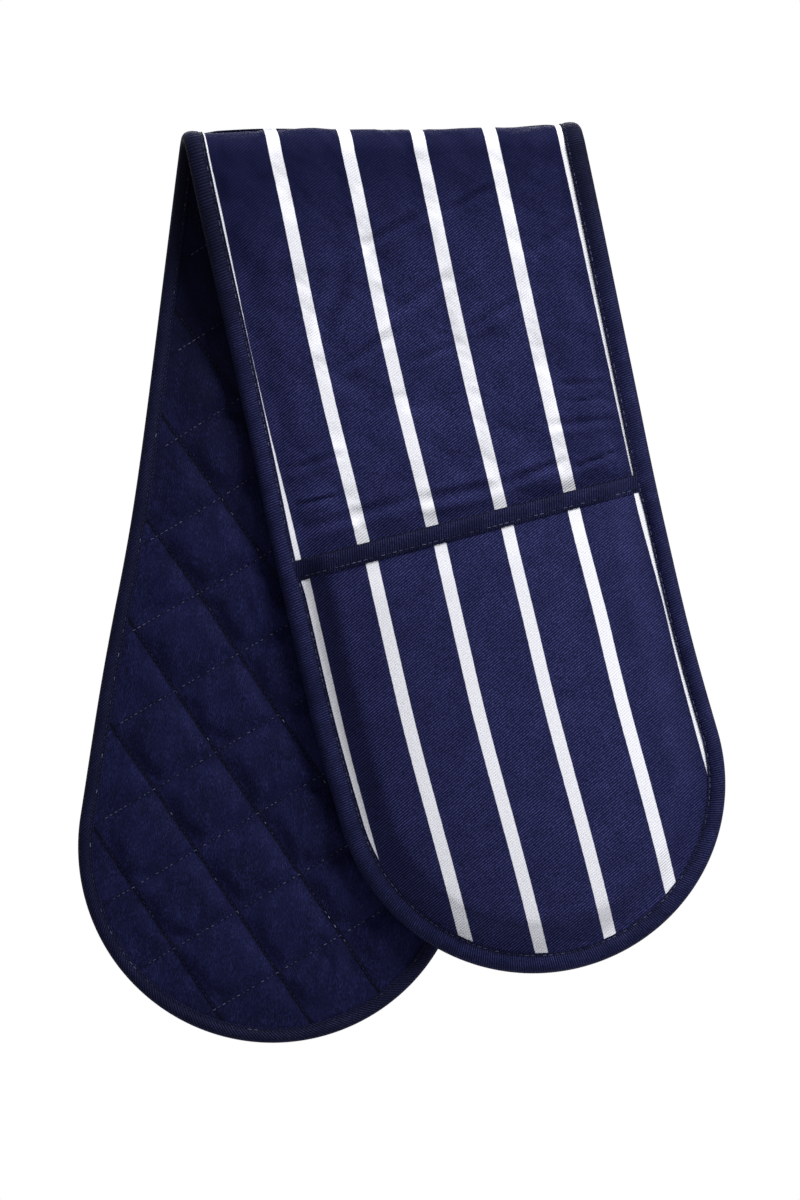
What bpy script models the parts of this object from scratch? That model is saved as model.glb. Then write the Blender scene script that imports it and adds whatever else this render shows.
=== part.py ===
"""Double oven glove, hanging folded over a rail, as an assembly of its cut and sewn pieces.

One long padded strip with round ends folds over the rail. Its front leg hangs towards -Y and
its rear leg towards +Y, and each round end carries a hand pocket on its outer side. The origin
is the top of the rail, where the fold rests on it. Lengths are in metres, and +Z is up.
"""

import math
from collections import namedtuple

import bmesh
import bpy
from mathutils import Vector

# Overall sizes
STRIP_WIDTH = 0.180
FRONT_REACH = 0.1874
REAR_REACH = 0.2160
POCKET_DEPTH = 0.2151
RAIL_RADIUS = 0.006

# The fold is cut askew, so the legs spread, and each mitt turns a little more
FOLD_SKEW = math.radians(9.8)
FRONT_MITT_TURN = math.radians(2.8)
REAR_MITT_TURN = math.radians(2.2)
TURN_LENGTH = 0.050
SADDLE_DROP = 0.008

# The strip's layers: striped cloth outside, wadding, quilted lining inside
CLOTH = 0.0008
WADDING = 0.0014
WADDING_LOFT = 0.00155
LINING = 0.0010
LINING_PUFF = 0.00155
LAYER_GAP = 0.0003
JOINT_GAP = 0.0003
LEG_GAP = 0.0011
EDGE_FLAT = 0.010
EDGE_TAPER = 0.016
FILL_SHARE = 0.5
HANG_SHARE = 0.85

# The quilting's two sets of stitch lines, measured down the strip from the fold
QUILT_PITCH = 0.034
QUILT_LEFT_TURN = math.radians(49.5)
QUILT_RIGHT_TURN = math.radians(43.5)
QUILT_CROSS_ALONG = -0.3738
QUILT_CROSS_ACROSS = -0.0127

# The bias binding
BINDING_CLOTH = 0.0008
BINDING_WIDTH = 0.0093
MOUTH_BINDING_WIDTH = 0.0090
BINDING_ROUND = 0.0020
SHEET_INSET = 0.0024
ROUND_SHARES = ((1.0, 1.0), (0.28, 0.67), (0.0, 0.0), (0.28, -0.67), (1.0, -1.0))

# The hand pocket
POCKET_LINING = 0.0008
POCKET_WADDING = 0.0008
POCKET_WADDING_LOFT = 0.0015
POCKET_CLEARANCE = 0.0005
POCKET_RISE = 0.0070
DOME_POWER = 2.5
POCKET_FILL_SHARE = 0.20
MOUTH_FLAT = 0.010
MOUTH_TAPER = 0.016
POCKET_RING_SHARES = (0.0, 0.08, POCKET_FILL_SHARE, 0.40, 0.65, 1.0)

# How finely the pieces are faceted
HANG_ROWS = 6
FILL_ROWS = 3
END_STEPS = 18
FOLD_STEPS = 12
SHARP_ANGLE = math.radians(35)
MERGE = 0.000001

# Colours and surfaces
TWILL_COLOUR = (0.0125, 0.0105, 0.066)
LINING_COLOUR = (0.0085, 0.0075, 0.055)
BINDING_COLOUR = (0.0105, 0.009, 0.062)
WADDING_COLOUR = (0.75, 0.74, 0.71)
CLOTH_ROUGHNESS = 0.85
WADDING_ROUGHNESS = 0.95

# Worked out from the sizes above
HALF_WIDTH = STRIP_WIDTH / 2
HALF_STACK = (LINING + LAYER_GAP + WADDING + LAYER_GAP + CLOTH) / 2
HALF_BINDING = HALF_STACK + LAYER_GAP + BINDING_CLOTH
FOLD_MID = RAIL_RADIUS + HALF_BINDING
MITT_MID = LEG_GAP / 2 + HALF_STACK + LINING_PUFF
QUARTER_ARC = FOLD_MID * math.pi / 2
CUT = QUARTER_ARC + SADDLE_DROP
HINGE_CLEARANCE = LAYER_GAP
HALF_POCKET_STACK = (POCKET_LINING + POCKET_WADDING + CLOTH) / 2 + LAYER_GAP
POCKET_INSET = BINDING_WIDTH + POCKET_CLEARANCE
POCKET_HALF_WIDTH = HALF_WIDTH - POCKET_INSET

Leg = namedtuple("Leg", "name side run reach end turn hang")
Station = namedtuple("Station", "row turn")


def make_leg(name, side, run, reach, turn):
    """A leg: the side of the rail that it hangs on, which way it runs along X, and its sizes."""
    level = (reach - TURN_LENGTH / 2) * math.cos(FOLD_SKEW) - HALF_WIDTH * math.sin(FOLD_SKEW)
    hang = HANG_SHARE * (level - CUT)
    end = reach + POCKET_DEPTH - HALF_WIDTH
    return Leg(name, side, run, reach, end, turn, hang)


def smooth(share):
    """An easing from 0 to 1."""
    share = min(max(share, 0.0), 1.0)
    return share * share * (3 - 2 * share)


def stepped(share, steps):
    """The same easing, straight between evenly spaced rows."""
    place = min(max(share, 0.0), 1.0) * steps
    row = min(int(place), steps - 1)
    low = smooth(row / steps)
    high = smooth((row + 1) / steps)
    return low + (high - low) * (place - row)


def centre_line(leg, along):
    """Where the leg's centre line is, across and down from the fold, and its slant there."""
    start = leg.reach - TURN_LENGTH / 2
    straight = min(along, start)
    across = straight * math.sin(FOLD_SKEW)
    down = straight * math.cos(FOLD_SKEW)
    if along <= start:
        return across, down, FOLD_SKEW
    radius = TURN_LENGTH / leg.turn
    curved = min(along - start, TURN_LENGTH)
    slant = FOLD_SKEW + curved / radius
    across += radius * (math.cos(FOLD_SKEW) - math.cos(slant))
    down += radius * (math.sin(slant) - math.sin(FOLD_SKEW))
    rest = along - start - curved
    return across + rest * math.sin(slant), down + rest * math.cos(slant), slant


def drop(leg, along, across):
    """How far a point of the leg is below the fold line, on the cloth."""
    _, down, slant = centre_line(leg, along)
    return down - leg.run * across * math.sin(slant)


def edge_distance(leg, along, across):
    """How far inside the strip's outer edge a point is."""
    return HALF_WIDTH - math.hypot(max(along - leg.end, 0.0), across)


def fullness(leg, along, across):
    """0 where the layers are pressed flat, at the bound edge and over the rail, and 1 where full."""
    inside = (edge_distance(leg, along, across) - EDGE_FLAT) / EDGE_TAPER
    below = (drop(leg, along, across) - CUT) / (leg.hang * FILL_SHARE)
    return smooth(inside) * stepped(below, FILL_ROWS)


def place(leg, along, across, height):
    """The point of space for a point of the flat leg, at a height over its middle surface."""
    centre, _, slant = centre_line(leg, along)
    down = drop(leg, along, across)
    hung = stepped((down - CUT) / leg.hang, HANG_ROWS)
    middle = FOLD_MID + (MITT_MID - FOLD_MID) * hung
    x = leg.run * centre + across * math.cos(slant)
    return Vector((x, leg.side * (middle + height), QUARTER_ARC - RAIL_RADIUS - down))


def place_on_saddle(down, across, height):
    """The same for the fold: down is positive towards the front, and negative towards the rear."""
    x = down * math.tan(FOLD_SKEW) + across / math.cos(FOLD_SKEW)
    angle = min(abs(down), QUARTER_ARC) / FOLD_MID
    radius = FOLD_MID + height
    below = max(abs(down) - QUARTER_ARC, 0.0)
    y = -math.copysign(radius * math.sin(angle), down)
    return Vector((x, y, radius * math.cos(angle) - RAIL_RADIUS - below))


# Heights of the strip's surfaces over its middle surface
def lining_inner(leg, along, across):
    full = fullness(leg, along, across)
    return -HALF_STACK - LINING_PUFF * full * quilt_crown(leg, along, across)


def lining_outer(leg, along, across):
    return LINING - HALF_STACK


def wadding_inner(leg, along, across):
    return LINING - HALF_STACK + LAYER_GAP


def wadding_outer(leg, along, across):
    return panel_inner(leg, along, across) - LAYER_GAP


def panel_inner(leg, along, across):
    return HALF_STACK - CLOTH + WADDING_LOFT * fullness(leg, along, across)


def panel_outer(leg, along, across):
    return panel_inner(leg, along, across) + CLOTH


# Heights of the hand pocket's surfaces
def pocket_share(leg, along, across):
    """0 at the pocket's sewn edge and 1 on its centre line."""
    return (edge_distance(leg, along, across) - POCKET_INSET) / POCKET_HALF_WIDTH


def pocket_lining_inner(leg, along, across):
    share = min(max(pocket_share(leg, along, across), 0.0), 1.0)
    dome = POCKET_RISE * (1 - (1 - share) ** DOME_POWER)
    lip_room = BINDING_CLOTH + LAYER_GAP
    return panel_outer(leg, along, across) + LAYER_GAP + lip_room + dome


def pocket_lining_outer(leg, along, across):
    return pocket_lining_inner(leg, along, across) + POCKET_LINING


def pocket_wadding_inner(leg, along, across):
    return pocket_lining_outer(leg, along, across) + LAYER_GAP


def pocket_wadding_outer(leg, along, across):
    sides = smooth(pocket_share(leg, along, across) / POCKET_FILL_SHARE)
    mouth = smooth((along - leg.reach - MOUTH_FLAT) / MOUTH_TAPER)
    loft = POCKET_WADDING_LOFT * sides * mouth
    return pocket_wadding_inner(leg, along, across) + POCKET_WADDING + loft


def pocket_panel_inner(leg, along, across):
    return pocket_wadding_outer(leg, along, across) + LAYER_GAP


def pocket_panel_outer(leg, along, across):
    return pocket_panel_inner(leg, along, across) + CLOTH


# The quilting
def quilt_places(leg, along, across):
    """How many half pitches a point is from each set's line through the known crossing."""
    step = QUILT_PITCH / 2
    down = -leg.side * along - QUILT_CROSS_ALONG
    aside = across - QUILT_CROSS_ACROSS
    left = down * math.sin(QUILT_LEFT_TURN) - aside * math.cos(QUILT_LEFT_TURN)
    right = down * math.sin(QUILT_RIGHT_TURN) + aside * math.cos(QUILT_RIGHT_TURN)
    return left / step, right / step


def quilt_crown(leg, along, across):
    """0 on a stitch line and 1 at the middle of a diamond."""
    left, right = quilt_places(leg, along, across)
    return abs(math.sin(left * math.pi / 2) * math.sin(right * math.pi / 2))


def quilt_planes(leg):
    """Points and normals, in the flat leg, of the stitch lines and the lines midway between."""
    step = QUILT_PITCH / 2
    away = Vector((-leg.side, 1.0, 0.0))
    crossing = Vector((-leg.side * QUILT_CROSS_ALONG, QUILT_CROSS_ACROSS, 0.0))
    left = Vector((math.sin(QUILT_LEFT_TURN), -math.cos(QUILT_LEFT_TURN), 0.0)) * away
    right = Vector((math.sin(QUILT_RIGHT_TURN), math.cos(QUILT_RIGHT_TURN), 0.0)) * away
    count = math.ceil((abs(QUILT_CROSS_ALONG) + leg.end + STRIP_WIDTH) / step)
    for normal in (left, right):
        for line in range(-count, count + 1):
            yield crossing + normal * step * line, normal


# Rows and stations that the faceted sheets of a leg share
def level_row(leg, down):
    """A row that lies level when the leg hangs, as the fold and the cut do."""
    tilt = leg.run * math.sin(FOLD_SKEW)
    return lambda across: (down + across * tilt) / math.cos(FOLD_SKEW)


def square_row(along):
    """A row that is square to the leg."""
    return lambda across: along


def leg_rows(leg):
    rows = [level_row(leg, CUT + JOINT_GAP / 2)]
    rows += [level_row(leg, CUT + leg.hang * row / HANG_ROWS) for row in range(1, HANG_ROWS + 1)]
    turned = leg.reach + TURN_LENGTH / 2
    for along in (leg.reach - TURN_LENGTH / 2, leg.reach, turned, (turned + leg.end) / 2):
        rows.append(square_row(along))
    return rows


def pocket_rows(leg):
    full = leg.reach + MOUTH_FLAT + MOUTH_TAPER
    places = (leg.reach + SHEET_INSET, leg.reach + MOUTH_FLAT, full, (full + leg.end) / 2)
    return [square_row(along) for along in places]


def stations_round(rows):
    """Stations down the left side, round the end and up the right side."""
    quarter = math.pi / 2
    left = [Station(row, -quarter) for row in rows]
    turns = [-quarter + math.pi * step / END_STEPS for step in range(END_STEPS + 1)]
    right = [Station(row, quarter) for row in reversed(rows)]
    return left + [Station(None, turn) for turn in turns] + right


def flat_point(leg, station, inset):
    """The point of the flat leg at a station, inside the strip's outer edge by the inset."""
    across = (HALF_WIDTH - inset) * math.sin(station.turn)
    if station.row:
        return station.row(across), across
    return leg.end + (HALF_WIDTH - inset) * math.cos(station.turn), across


# Turning flat grids into solids
def unit_grid(columns, rows):
    """A grid whose vertex places count its columns and rows."""
    mesh = bmesh.new()
    bmesh.ops.create_grid(mesh, x_segments=columns, y_segments=rows, size=1)
    for vert in mesh.verts:
        vert.co.x = round((vert.co.x + 1) / 2 * columns)
        vert.co.y = round((vert.co.y + 1) / 2 * rows)
        vert.co.z = 0
    return mesh


def raise_copy(mesh):
    """Extrudes a flat sheet, so that its lower side is at level 0 and its upper side at 1."""
    made = bmesh.ops.extrude_face_region(mesh, geom=mesh.faces[:])
    upper = [part for part in made["geom"] if isinstance(part, bmesh.types.BMVert)]
    bmesh.ops.translate(mesh, vec=(0, 0, 1), verts=upper)


def finish(mesh, name, material, parent=None):
    """Closes the seams, turns the faces outwards and makes the object."""
    bmesh.ops.remove_doubles(mesh, verts=mesh.verts, dist=MERGE)
    bmesh.ops.holes_fill(mesh, edges=mesh.edges, sides=0)
    bmesh.ops.recalc_face_normals(mesh, faces=mesh.faces)
    data = bpy.data.meshes.new(name)
    mesh.to_mesh(data)
    mesh.free()
    data.materials.append(material)
    data.shade_smooth()
    data.set_sharp_from_angle(angle=SHARP_ANGLE)
    made = bpy.data.objects.new(name, data)
    bpy.context.collection.objects.link(made)
    if parent:
        made.parent = parent
        made.matrix_parent_inverse = parent.matrix_world.inverted()
    return made


def leg_sheet(name, leg, rows, insets, heights, material, parent):
    """A layer of the leg between two heights, with its grid wrapped round the leg's end."""
    stations = stations_round(rows)
    mesh = unit_grid(len(stations) - 1, len(insets) - 1)
    raise_copy(mesh)
    spine = len(insets) - 1
    inner = [face for face in mesh.faces if all(round(v.co.y) == spine for v in face.verts)]
    bmesh.ops.delete(mesh, geom=inner, context="FACES")
    for vert in mesh.verts:
        station, ring, level = (round(value) for value in vert.co)
        along, across = flat_point(leg, stations[station], insets[ring])
        vert.co = place(leg, along, across, heights[level](leg, along, across))
    return finish(mesh, name, material, parent)


def channel_section(width, half_depth):
    """A folded strip's outline as (inset, height) pairs: out over one lip, and back inside."""
    outer = [(BINDING_ROUND * a, half_depth * b) for a, b in ROUND_SHARES]
    depth = BINDING_ROUND - BINDING_CLOTH
    hollow = half_depth - BINDING_CLOTH
    inner = [(BINDING_CLOTH + depth * a, hollow * b) for a, b in reversed(ROUND_SHARES)]
    lips = [(width, half_depth), (width, -half_depth), (width, -hollow), (width, hollow)]
    return [lips[0]] + outer + [lips[1], lips[2]] + inner + [lips[3]]


def channel(name, stops, section, put, material, parent=None):
    """A folded strip swept along stops, each section point put in space by a function."""
    mesh = unit_grid(len(stops) - 1, len(section))
    for vert in mesh.verts:
        stop, corner = round(vert.co.x), round(vert.co.y) % len(section)
        inset, height = section[corner]
        vert.co = put(stops[stop], inset, height)
    return finish(mesh, name, material, parent)


# The pieces of a leg
def leg_insets():
    full = EDGE_FLAT + EDGE_TAPER
    return (SHEET_INSET, EDGE_FLAT, (EDGE_FLAT + full) / 2, full, HALF_WIDTH)


def outer_panel(leg, material, parent):
    heights = (panel_inner, panel_outer)
    name = f"{leg.name}_outer_panel"
    return leg_sheet(name, leg, leg_rows(leg), leg_insets(), heights, material, parent)


def wadding(leg, material, parent):
    heights = (wadding_inner, wadding_outer)
    name = f"{leg.name}_wadding"
    return leg_sheet(name, leg, leg_rows(leg), leg_insets(), heights, material, parent)


def quilted_lining(leg, material, parent):
    """The lining is one flat piece, cut along its stitch lines and puffed up between them."""
    edge = HALF_WIDTH - SHEET_INSET
    mesh = bmesh.new()
    bmesh.ops.create_grid(mesh, x_segments=1, y_segments=1, size=leg.end + STRIP_WIDTH)

    def split(point, normal, trim=False):
        geometry = mesh.verts[:] + mesh.edges[:] + mesh.faces[:]
        bmesh.ops.bisect_plane(
            mesh, geom=geometry, dist=MERGE, plane_co=point, plane_no=normal, clear_outer=trim
        )

    level = Vector((math.cos(FOLD_SKEW), -leg.run * math.sin(FOLD_SKEW), 0.0))
    split(level * (CUT + JOINT_GAP / 2), -level, trim=True)
    for side in (-1, 1):
        split(Vector((0.0, side * edge, 0.0)), Vector((0.0, side, 0.0)), trim=True)
    turn = math.pi / END_STEPS
    for step in range(END_STEPS):
        angle = (step + 0.5) * turn - math.pi / 2
        outward = Vector((math.cos(angle), math.sin(angle), 0.0))
        centre = Vector((leg.end, 0.0, 0.0))
        split(centre + outward * edge * math.cos(turn / 2), outward, trim=True)
    hem = EDGE_FLAT - SHEET_INSET
    bmesh.ops.inset_region(
        mesh, faces=mesh.faces[:], thickness=hem, use_boundary=True, use_even_offset=True
    )
    for row in range(1, HANG_ROWS + 1):
        split(level * (CUT + leg.hang * row / HANG_ROWS), level)
    for point, normal in quilt_planes(leg):
        split(point, normal)
    raise_copy(mesh)
    for vert in mesh.verts:
        along, across, upper = vert.co
        height = lining_outer if upper else lining_inner
        vert.co = place(leg, along, across, height(leg, along, across))
    return finish(mesh, f"{leg.name}_quilted_lining", material, parent)


def edge_binding(leg, material, parent):
    def put(station, inset, height):
        along, across = flat_point(leg, station, inset)
        return place(leg, along, across, height)

    section = channel_section(BINDING_WIDTH, HALF_BINDING)
    stops = stations_round(leg_rows(leg))
    return channel(f"{leg.name}_edge_binding", stops, section, put, material, parent)


def pocket_layer(name, leg, heights, material, parent):
    insets = [POCKET_INSET + POCKET_HALF_WIDTH * share for share in POCKET_RING_SHARES]
    return leg_sheet(
        f"{leg.name}_{name}", leg, pocket_rows(leg), insets, heights, material, parent
    )


def mouth_binding(leg, material, parent):
    """The folded strip over the pocket's mouth, which arches with the pocket."""

    def put(share, inset, height):
        across = POCKET_HALF_WIDTH * share
        middle = pocket_lining_inner(leg, leg.reach, across) + HALF_POCKET_STACK
        return place(leg, leg.reach + inset, across, middle + height)

    right = [1 - share for share in POCKET_RING_SHARES]
    stops = [-share for share in right[:-1]] + right[::-1]
    half_depth = HALF_POCKET_STACK + LAYER_GAP + BINDING_CLOTH
    section = channel_section(MOUTH_BINDING_WIDTH, half_depth)
    return channel(f"{leg.name}_mouth_binding", stops, section, put, material, parent)


# The pieces of the fold
def saddle_stops():
    arc = [QUARTER_ARC * (2 * step / FOLD_STEPS - 1) for step in range(FOLD_STEPS + 1)]
    end = CUT - JOINT_GAP / 2
    return [-end] + arc + [end]


def saddle_sheet(name, low, high, material):
    stops = saddle_stops()
    edge = HALF_WIDTH - SHEET_INSET
    mesh = unit_grid(len(stops) - 1, 1)
    raise_copy(mesh)
    for vert in mesh.verts:
        stop, side, level = (round(value) for value in vert.co)
        vert.co = place_on_saddle(stops[stop], edge * (2 * side - 1), high if level else low)
    return finish(mesh, name, material)


def saddle_binding(name, side, material):
    def put(down, inset, height):
        return place_on_saddle(down, side * (HALF_WIDTH - inset), height)

    section = channel_section(BINDING_WIDTH, HALF_BINDING)
    return channel(name, saddle_stops(), section, put, material)


# Materials and joints
def cloth_material(name, colour, roughness):
    material = bpy.data.materials.new(name)
    material.use_nodes = True
    shader = material.node_tree.nodes["Principled BSDF"]
    shader.inputs["Base Color"].default_value = (*colour, 1.0)
    shader.inputs["Roughness"].default_value = roughness
    shader.inputs["Metallic"].default_value = 0.0
    return material


def hinge_empty(name, location, parent=None):
    """An empty on a joint's axis, which carries the pieces that turn about it."""
    empty = bpy.data.objects.new(name, None)
    empty.empty_display_size = RAIL_RADIUS
    bpy.context.collection.objects.link(empty)
    empty.location = location
    if parent:
        empty.parent = parent
        empty.matrix_parent_inverse = parent.matrix_world.inverted()
    bpy.context.view_layer.update()
    return empty


def build_saddle(materials):
    inner = -HALF_STACK
    saddle_sheet("saddle_lining", inner, inner + LINING, materials["lining"])
    inner += LINING + LAYER_GAP
    saddle_sheet("saddle_wadding", inner, inner + WADDING, materials["wadding"])
    inner += WADDING + LAYER_GAP
    saddle_sheet("saddle_outer_panel", inner, inner + CLOTH, materials["twill"])
    saddle_binding("saddle_binding_left", -1, materials["binding"])
    saddle_binding("saddle_binding_right", 1, materials["binding"])


def build_leg(leg, materials):
    outside = FOLD_MID + HALF_BINDING + HINGE_CLEARANCE
    hip = Vector((0.0, leg.side * outside, QUARTER_ARC - RAIL_RADIUS - CUT))
    fold = hinge_empty(f"{leg.name}_leg_hinge", hip)
    outer_panel(leg, materials["twill"], fold)
    wadding(leg, materials["wadding"], fold)
    quilted_lining(leg, materials["lining"], fold)
    edge_binding(leg, materials["binding"], fold)

    tip = leg.end + POCKET_HALF_WIDTH
    toe = place(leg, tip, 0.0, pocket_lining_inner(leg, tip, 0.0))
    pocket = hinge_empty(f"{leg.name}_pocket_hinge", toe, fold)
    layers = (
        ("pocket_lining", pocket_lining_inner, pocket_lining_outer, "lining"),
        ("pocket_wadding", pocket_wadding_inner, pocket_wadding_outer, "wadding"),
        ("pocket_panel", pocket_panel_inner, pocket_panel_outer, "twill"),
    )
    for name, low, high, cloth in layers:
        pocket_layer(name, leg, (low, high), materials[cloth], pocket)
    mouth_binding(leg, materials["binding"], pocket)


def build():
    for old in list(bpy.data.objects):
        bpy.data.objects.remove(old)
    materials = {
        "twill": cloth_material("striped_twill", TWILL_COLOUR, CLOTH_ROUGHNESS),
        "lining": cloth_material("quilted_cotton", LINING_COLOUR, CLOTH_ROUGHNESS),
        "binding": cloth_material("bias_binding", BINDING_COLOUR, CLOTH_ROUGHNESS),
        "wadding": cloth_material("cotton_wadding", WADDING_COLOUR, WADDING_ROUGHNESS),
    }
    build_saddle(materials)
    build_leg(make_leg("front", -1, 1, FRONT_REACH, FRONT_MITT_TURN), materials)
    build_leg(make_leg("rear", 1, -1, REAR_REACH, REAR_MITT_TURN), materials)


build()
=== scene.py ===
# %% [markdown]
# # A double oven glove, folded over a rail
# The glove is one long padded strip with round ends and a hand pocket on each of them. It is
# sewn from striped cotton twill, wadding and a quilted lining, and bound round its edge. The
# CAD model gives its solids and joints. This lesson dresses them in cloth, thread and binding.

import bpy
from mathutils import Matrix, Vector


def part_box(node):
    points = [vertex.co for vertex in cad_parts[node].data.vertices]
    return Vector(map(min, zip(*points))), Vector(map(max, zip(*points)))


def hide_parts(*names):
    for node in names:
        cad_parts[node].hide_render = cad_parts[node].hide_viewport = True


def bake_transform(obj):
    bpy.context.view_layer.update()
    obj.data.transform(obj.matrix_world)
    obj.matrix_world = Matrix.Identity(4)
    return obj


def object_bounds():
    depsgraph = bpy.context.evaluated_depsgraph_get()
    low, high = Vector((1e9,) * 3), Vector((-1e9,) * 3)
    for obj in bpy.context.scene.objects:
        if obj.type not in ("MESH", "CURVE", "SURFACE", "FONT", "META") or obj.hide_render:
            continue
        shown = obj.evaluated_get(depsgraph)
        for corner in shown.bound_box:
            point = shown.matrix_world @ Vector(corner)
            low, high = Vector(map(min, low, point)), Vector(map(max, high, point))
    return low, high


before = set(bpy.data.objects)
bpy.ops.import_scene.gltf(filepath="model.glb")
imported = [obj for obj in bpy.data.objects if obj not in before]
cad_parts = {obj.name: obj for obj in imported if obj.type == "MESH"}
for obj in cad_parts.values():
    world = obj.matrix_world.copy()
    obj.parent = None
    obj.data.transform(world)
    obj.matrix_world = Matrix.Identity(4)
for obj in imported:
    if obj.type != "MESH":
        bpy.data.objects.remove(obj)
CAD_LOW, CAD_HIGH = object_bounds()
print("CAD box:", CAD_LOW, CAD_HIGH)

# %% Tools for the rest of the lesson
import math
import random
from collections import namedtuple

import bmesh
import bpy
from mathutils import Matrix, Vector, noise

# %% [markdown]
# ## The pattern pieces
# A sewing pattern comes first, as flat shapes with real sizes. They are the same ones that the
# CAD solids were cut to: how wide the strip is, how far each mouth is from the fold, and how
# thick each layer is. Every length is in metres.

# %% Sizes of the strip
STRIP_WIDTH = 0.180
HALF_WIDTH = STRIP_WIDTH / 2
FRONT_REACH = 0.1874
REAR_REACH = 0.2160
POCKET_DEPTH = 0.2151
RAIL_RADIUS = 0.006

# The fold is askew, and each mitt turns a little more over this length
FOLD_SKEW = math.radians(9.8)
FRONT_MITT_TURN = math.radians(2.8)
REAR_MITT_TURN = math.radians(2.2)
TURN_LENGTH = 0.050
MOUTH_SKEW = math.radians(1.0)
print("mouths:", FRONT_REACH, "and", REAR_REACH, "m from the fold")

# %% Thickness of the layers
CLOTH = 0.0008
WADDING = 0.0014
WADDING_LOFT = 0.00155
LINING = 0.0010
LINING_PUFF = 0.00155
LAYER_GAP = 0.0003
LEG_GAP = 0.0011
HALF_STACK = (LINING + LAYER_GAP + WADDING + LAYER_GAP + CLOTH) / 2
HALF_BINDING = HALF_STACK + LAYER_GAP + CLOTH
FOLD_MID = RAIL_RADIUS + HALF_BINDING
MITT_MID = LEG_GAP / 2 + HALF_STACK + LINING_PUFF
QUARTER_ARC = FOLD_MID * math.pi / 2
SADDLE_DROP = 0.008
CUT = QUARTER_ARC + SADDLE_DROP
HANG_SHARE = 0.85
print("the strip is", round(2000 * HALF_BINDING, 1), "mm thick at its bound edge")

# %% [markdown]
# ## Where the cloth hangs
# A point of cloth is easiest to say on the flat pattern: across the strip, along it from the
# fold, and its height over the middle of the padding. One function then hangs that point in
# space: over the rail, down the slanting leg, and closer to the other leg as it goes down.
# A lattice or curve modifier could bend finished pieces too, but a function that all the layers
# share keeps them exactly one over the other.

# %% The two legs
# reach: from the fold to the mouth, end: to the start of the round end, turn: of the mitt,
# hang: the length over which the leg closes up to the other, bow: to the left, halfway down
Leg = namedtuple("Leg", "name side run reach end turn hang bow")


def make_leg(name, side, run, reach, turn, bow):
    """A leg: its side of the rail, which way it runs along X, and its sizes."""
    level = (reach - TURN_LENGTH / 2) * math.cos(FOLD_SKEW) - HALF_WIDTH * math.sin(FOLD_SKEW)
    end = reach + POCKET_DEPTH - HALF_WIDTH
    return Leg(name, side, run, reach, end, turn, HANG_SHARE * (level - CUT), bow)


FRONT = make_leg("front", side=-1, run=1, reach=FRONT_REACH, turn=FRONT_MITT_TURN, bow=0.0024)
REAR = make_leg("rear", side=1, run=-1, reach=REAR_REACH, turn=REAR_MITT_TURN, bow=0.0018)
print("flat strip:", round(FRONT.end + REAR.end + STRIP_WIDTH, 4), "m long")


# %% The centre line of a leg
def smooth(share):
    """An easing from 0 to 1."""
    share = min(max(share, 0.0), 1.0)
    return share * share * (3 - 2 * share)


def centre_line(leg, along):
    """The centre line's place across and down from the fold, and its slant there."""
    start = leg.reach - TURN_LENGTH / 2
    radius = TURN_LENGTH / leg.turn
    straight = min(along, start)
    curved = min(max(along - start, 0.0), TURN_LENGTH)
    rest = along - straight - curved
    slant = FOLD_SKEW + curved / radius
    across = straight * math.sin(FOLD_SKEW) + rest * math.sin(slant)
    across += radius * (math.cos(FOLD_SKEW) - math.cos(slant))
    down = straight * math.cos(FOLD_SKEW) + rest * math.cos(slant)
    down += radius * (math.sin(slant) - math.sin(FOLD_SKEW))
    return across, down, slant


def drop(leg, across, along):
    """How far below the fold line a point of the cloth hangs."""
    _, down, slant = centre_line(leg, along)
    return down - leg.run * across * math.sin(slant)


print("front slant:", round(math.degrees(centre_line(FRONT, FRONT.end)[2]), 1), "degrees")


# %% The legs' bow and the uneven fold
LEVEL_LEAN = math.radians(0.9)
FOLD_WAVE = 0.0006
FOLD_WAVE_PEAK = -0.046
FOLD_WAVE_LENGTH = 0.140
LEAN_FADE = 0.060
BOW_PLACE = 0.270
BOW_LENGTH = 0.065
CORNER_REACH = 0.0018
CORNER_FADE = 0.170


def sideways(leg, across, along, down):
    """Each leg bows a little to the left, and the fold's left corner is drawn out."""
    bow = leg.bow * math.exp(-(((along - BOW_PLACE) / BOW_LENGTH) ** 2))
    corner = CORNER_REACH * (0.5 - across / STRIP_WIDTH) * (1 - smooth(down / CORNER_FADE))
    return -bow - corner


def fold_lean(across, down):
    """The fold dips to one side and waves a little, as cloth does over a rail."""
    wave = FOLD_WAVE * math.cos(math.tau * (across - FOLD_WAVE_PEAK) / FOLD_WAVE_LENGTH)
    return (wave - across * math.tan(LEVEL_LEAN)) * (1 - smooth(down / LEAN_FADE))


print("the left end of the fold is", round(1000 * fold_lean(-HALF_WIDTH, 0.0), 1), "mm up")


# %% Hang a point of the pattern
def hang(leg, across, along, height):
    """The place in space of a point of the flat pattern."""
    centre, _, slant = centre_line(leg, along)
    down = drop(leg, across, along)
    x = leg.run * centre + across * math.cos(slant) + sideways(leg, across, along, down)
    lean = fold_lean(across, down)
    if down < QUARTER_ARC:
        angle = down / FOLD_MID
        radius = FOLD_MID + height
        y = radius * math.sin(angle)
        return Vector((x, leg.side * y, radius * math.cos(angle) - RAIL_RADIUS + lean))
    middle = FOLD_MID + (MITT_MID - FOLD_MID) * smooth((down - CUT) / leg.hang)
    return Vector((x, leg.side * (middle + height), QUARTER_ARC - RAIL_RADIUS - down + lean))


for leg in (FRONT, REAR):
    tip = hang(leg, 0.0, leg.end + HALF_WIDTH, 0.0)
    low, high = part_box(f"{leg.name}_edge_binding")
    print(leg.name, "tip hangs at", round(tip.z, 4), "and the CAD binding ends at", round(low.z, 4))


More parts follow.
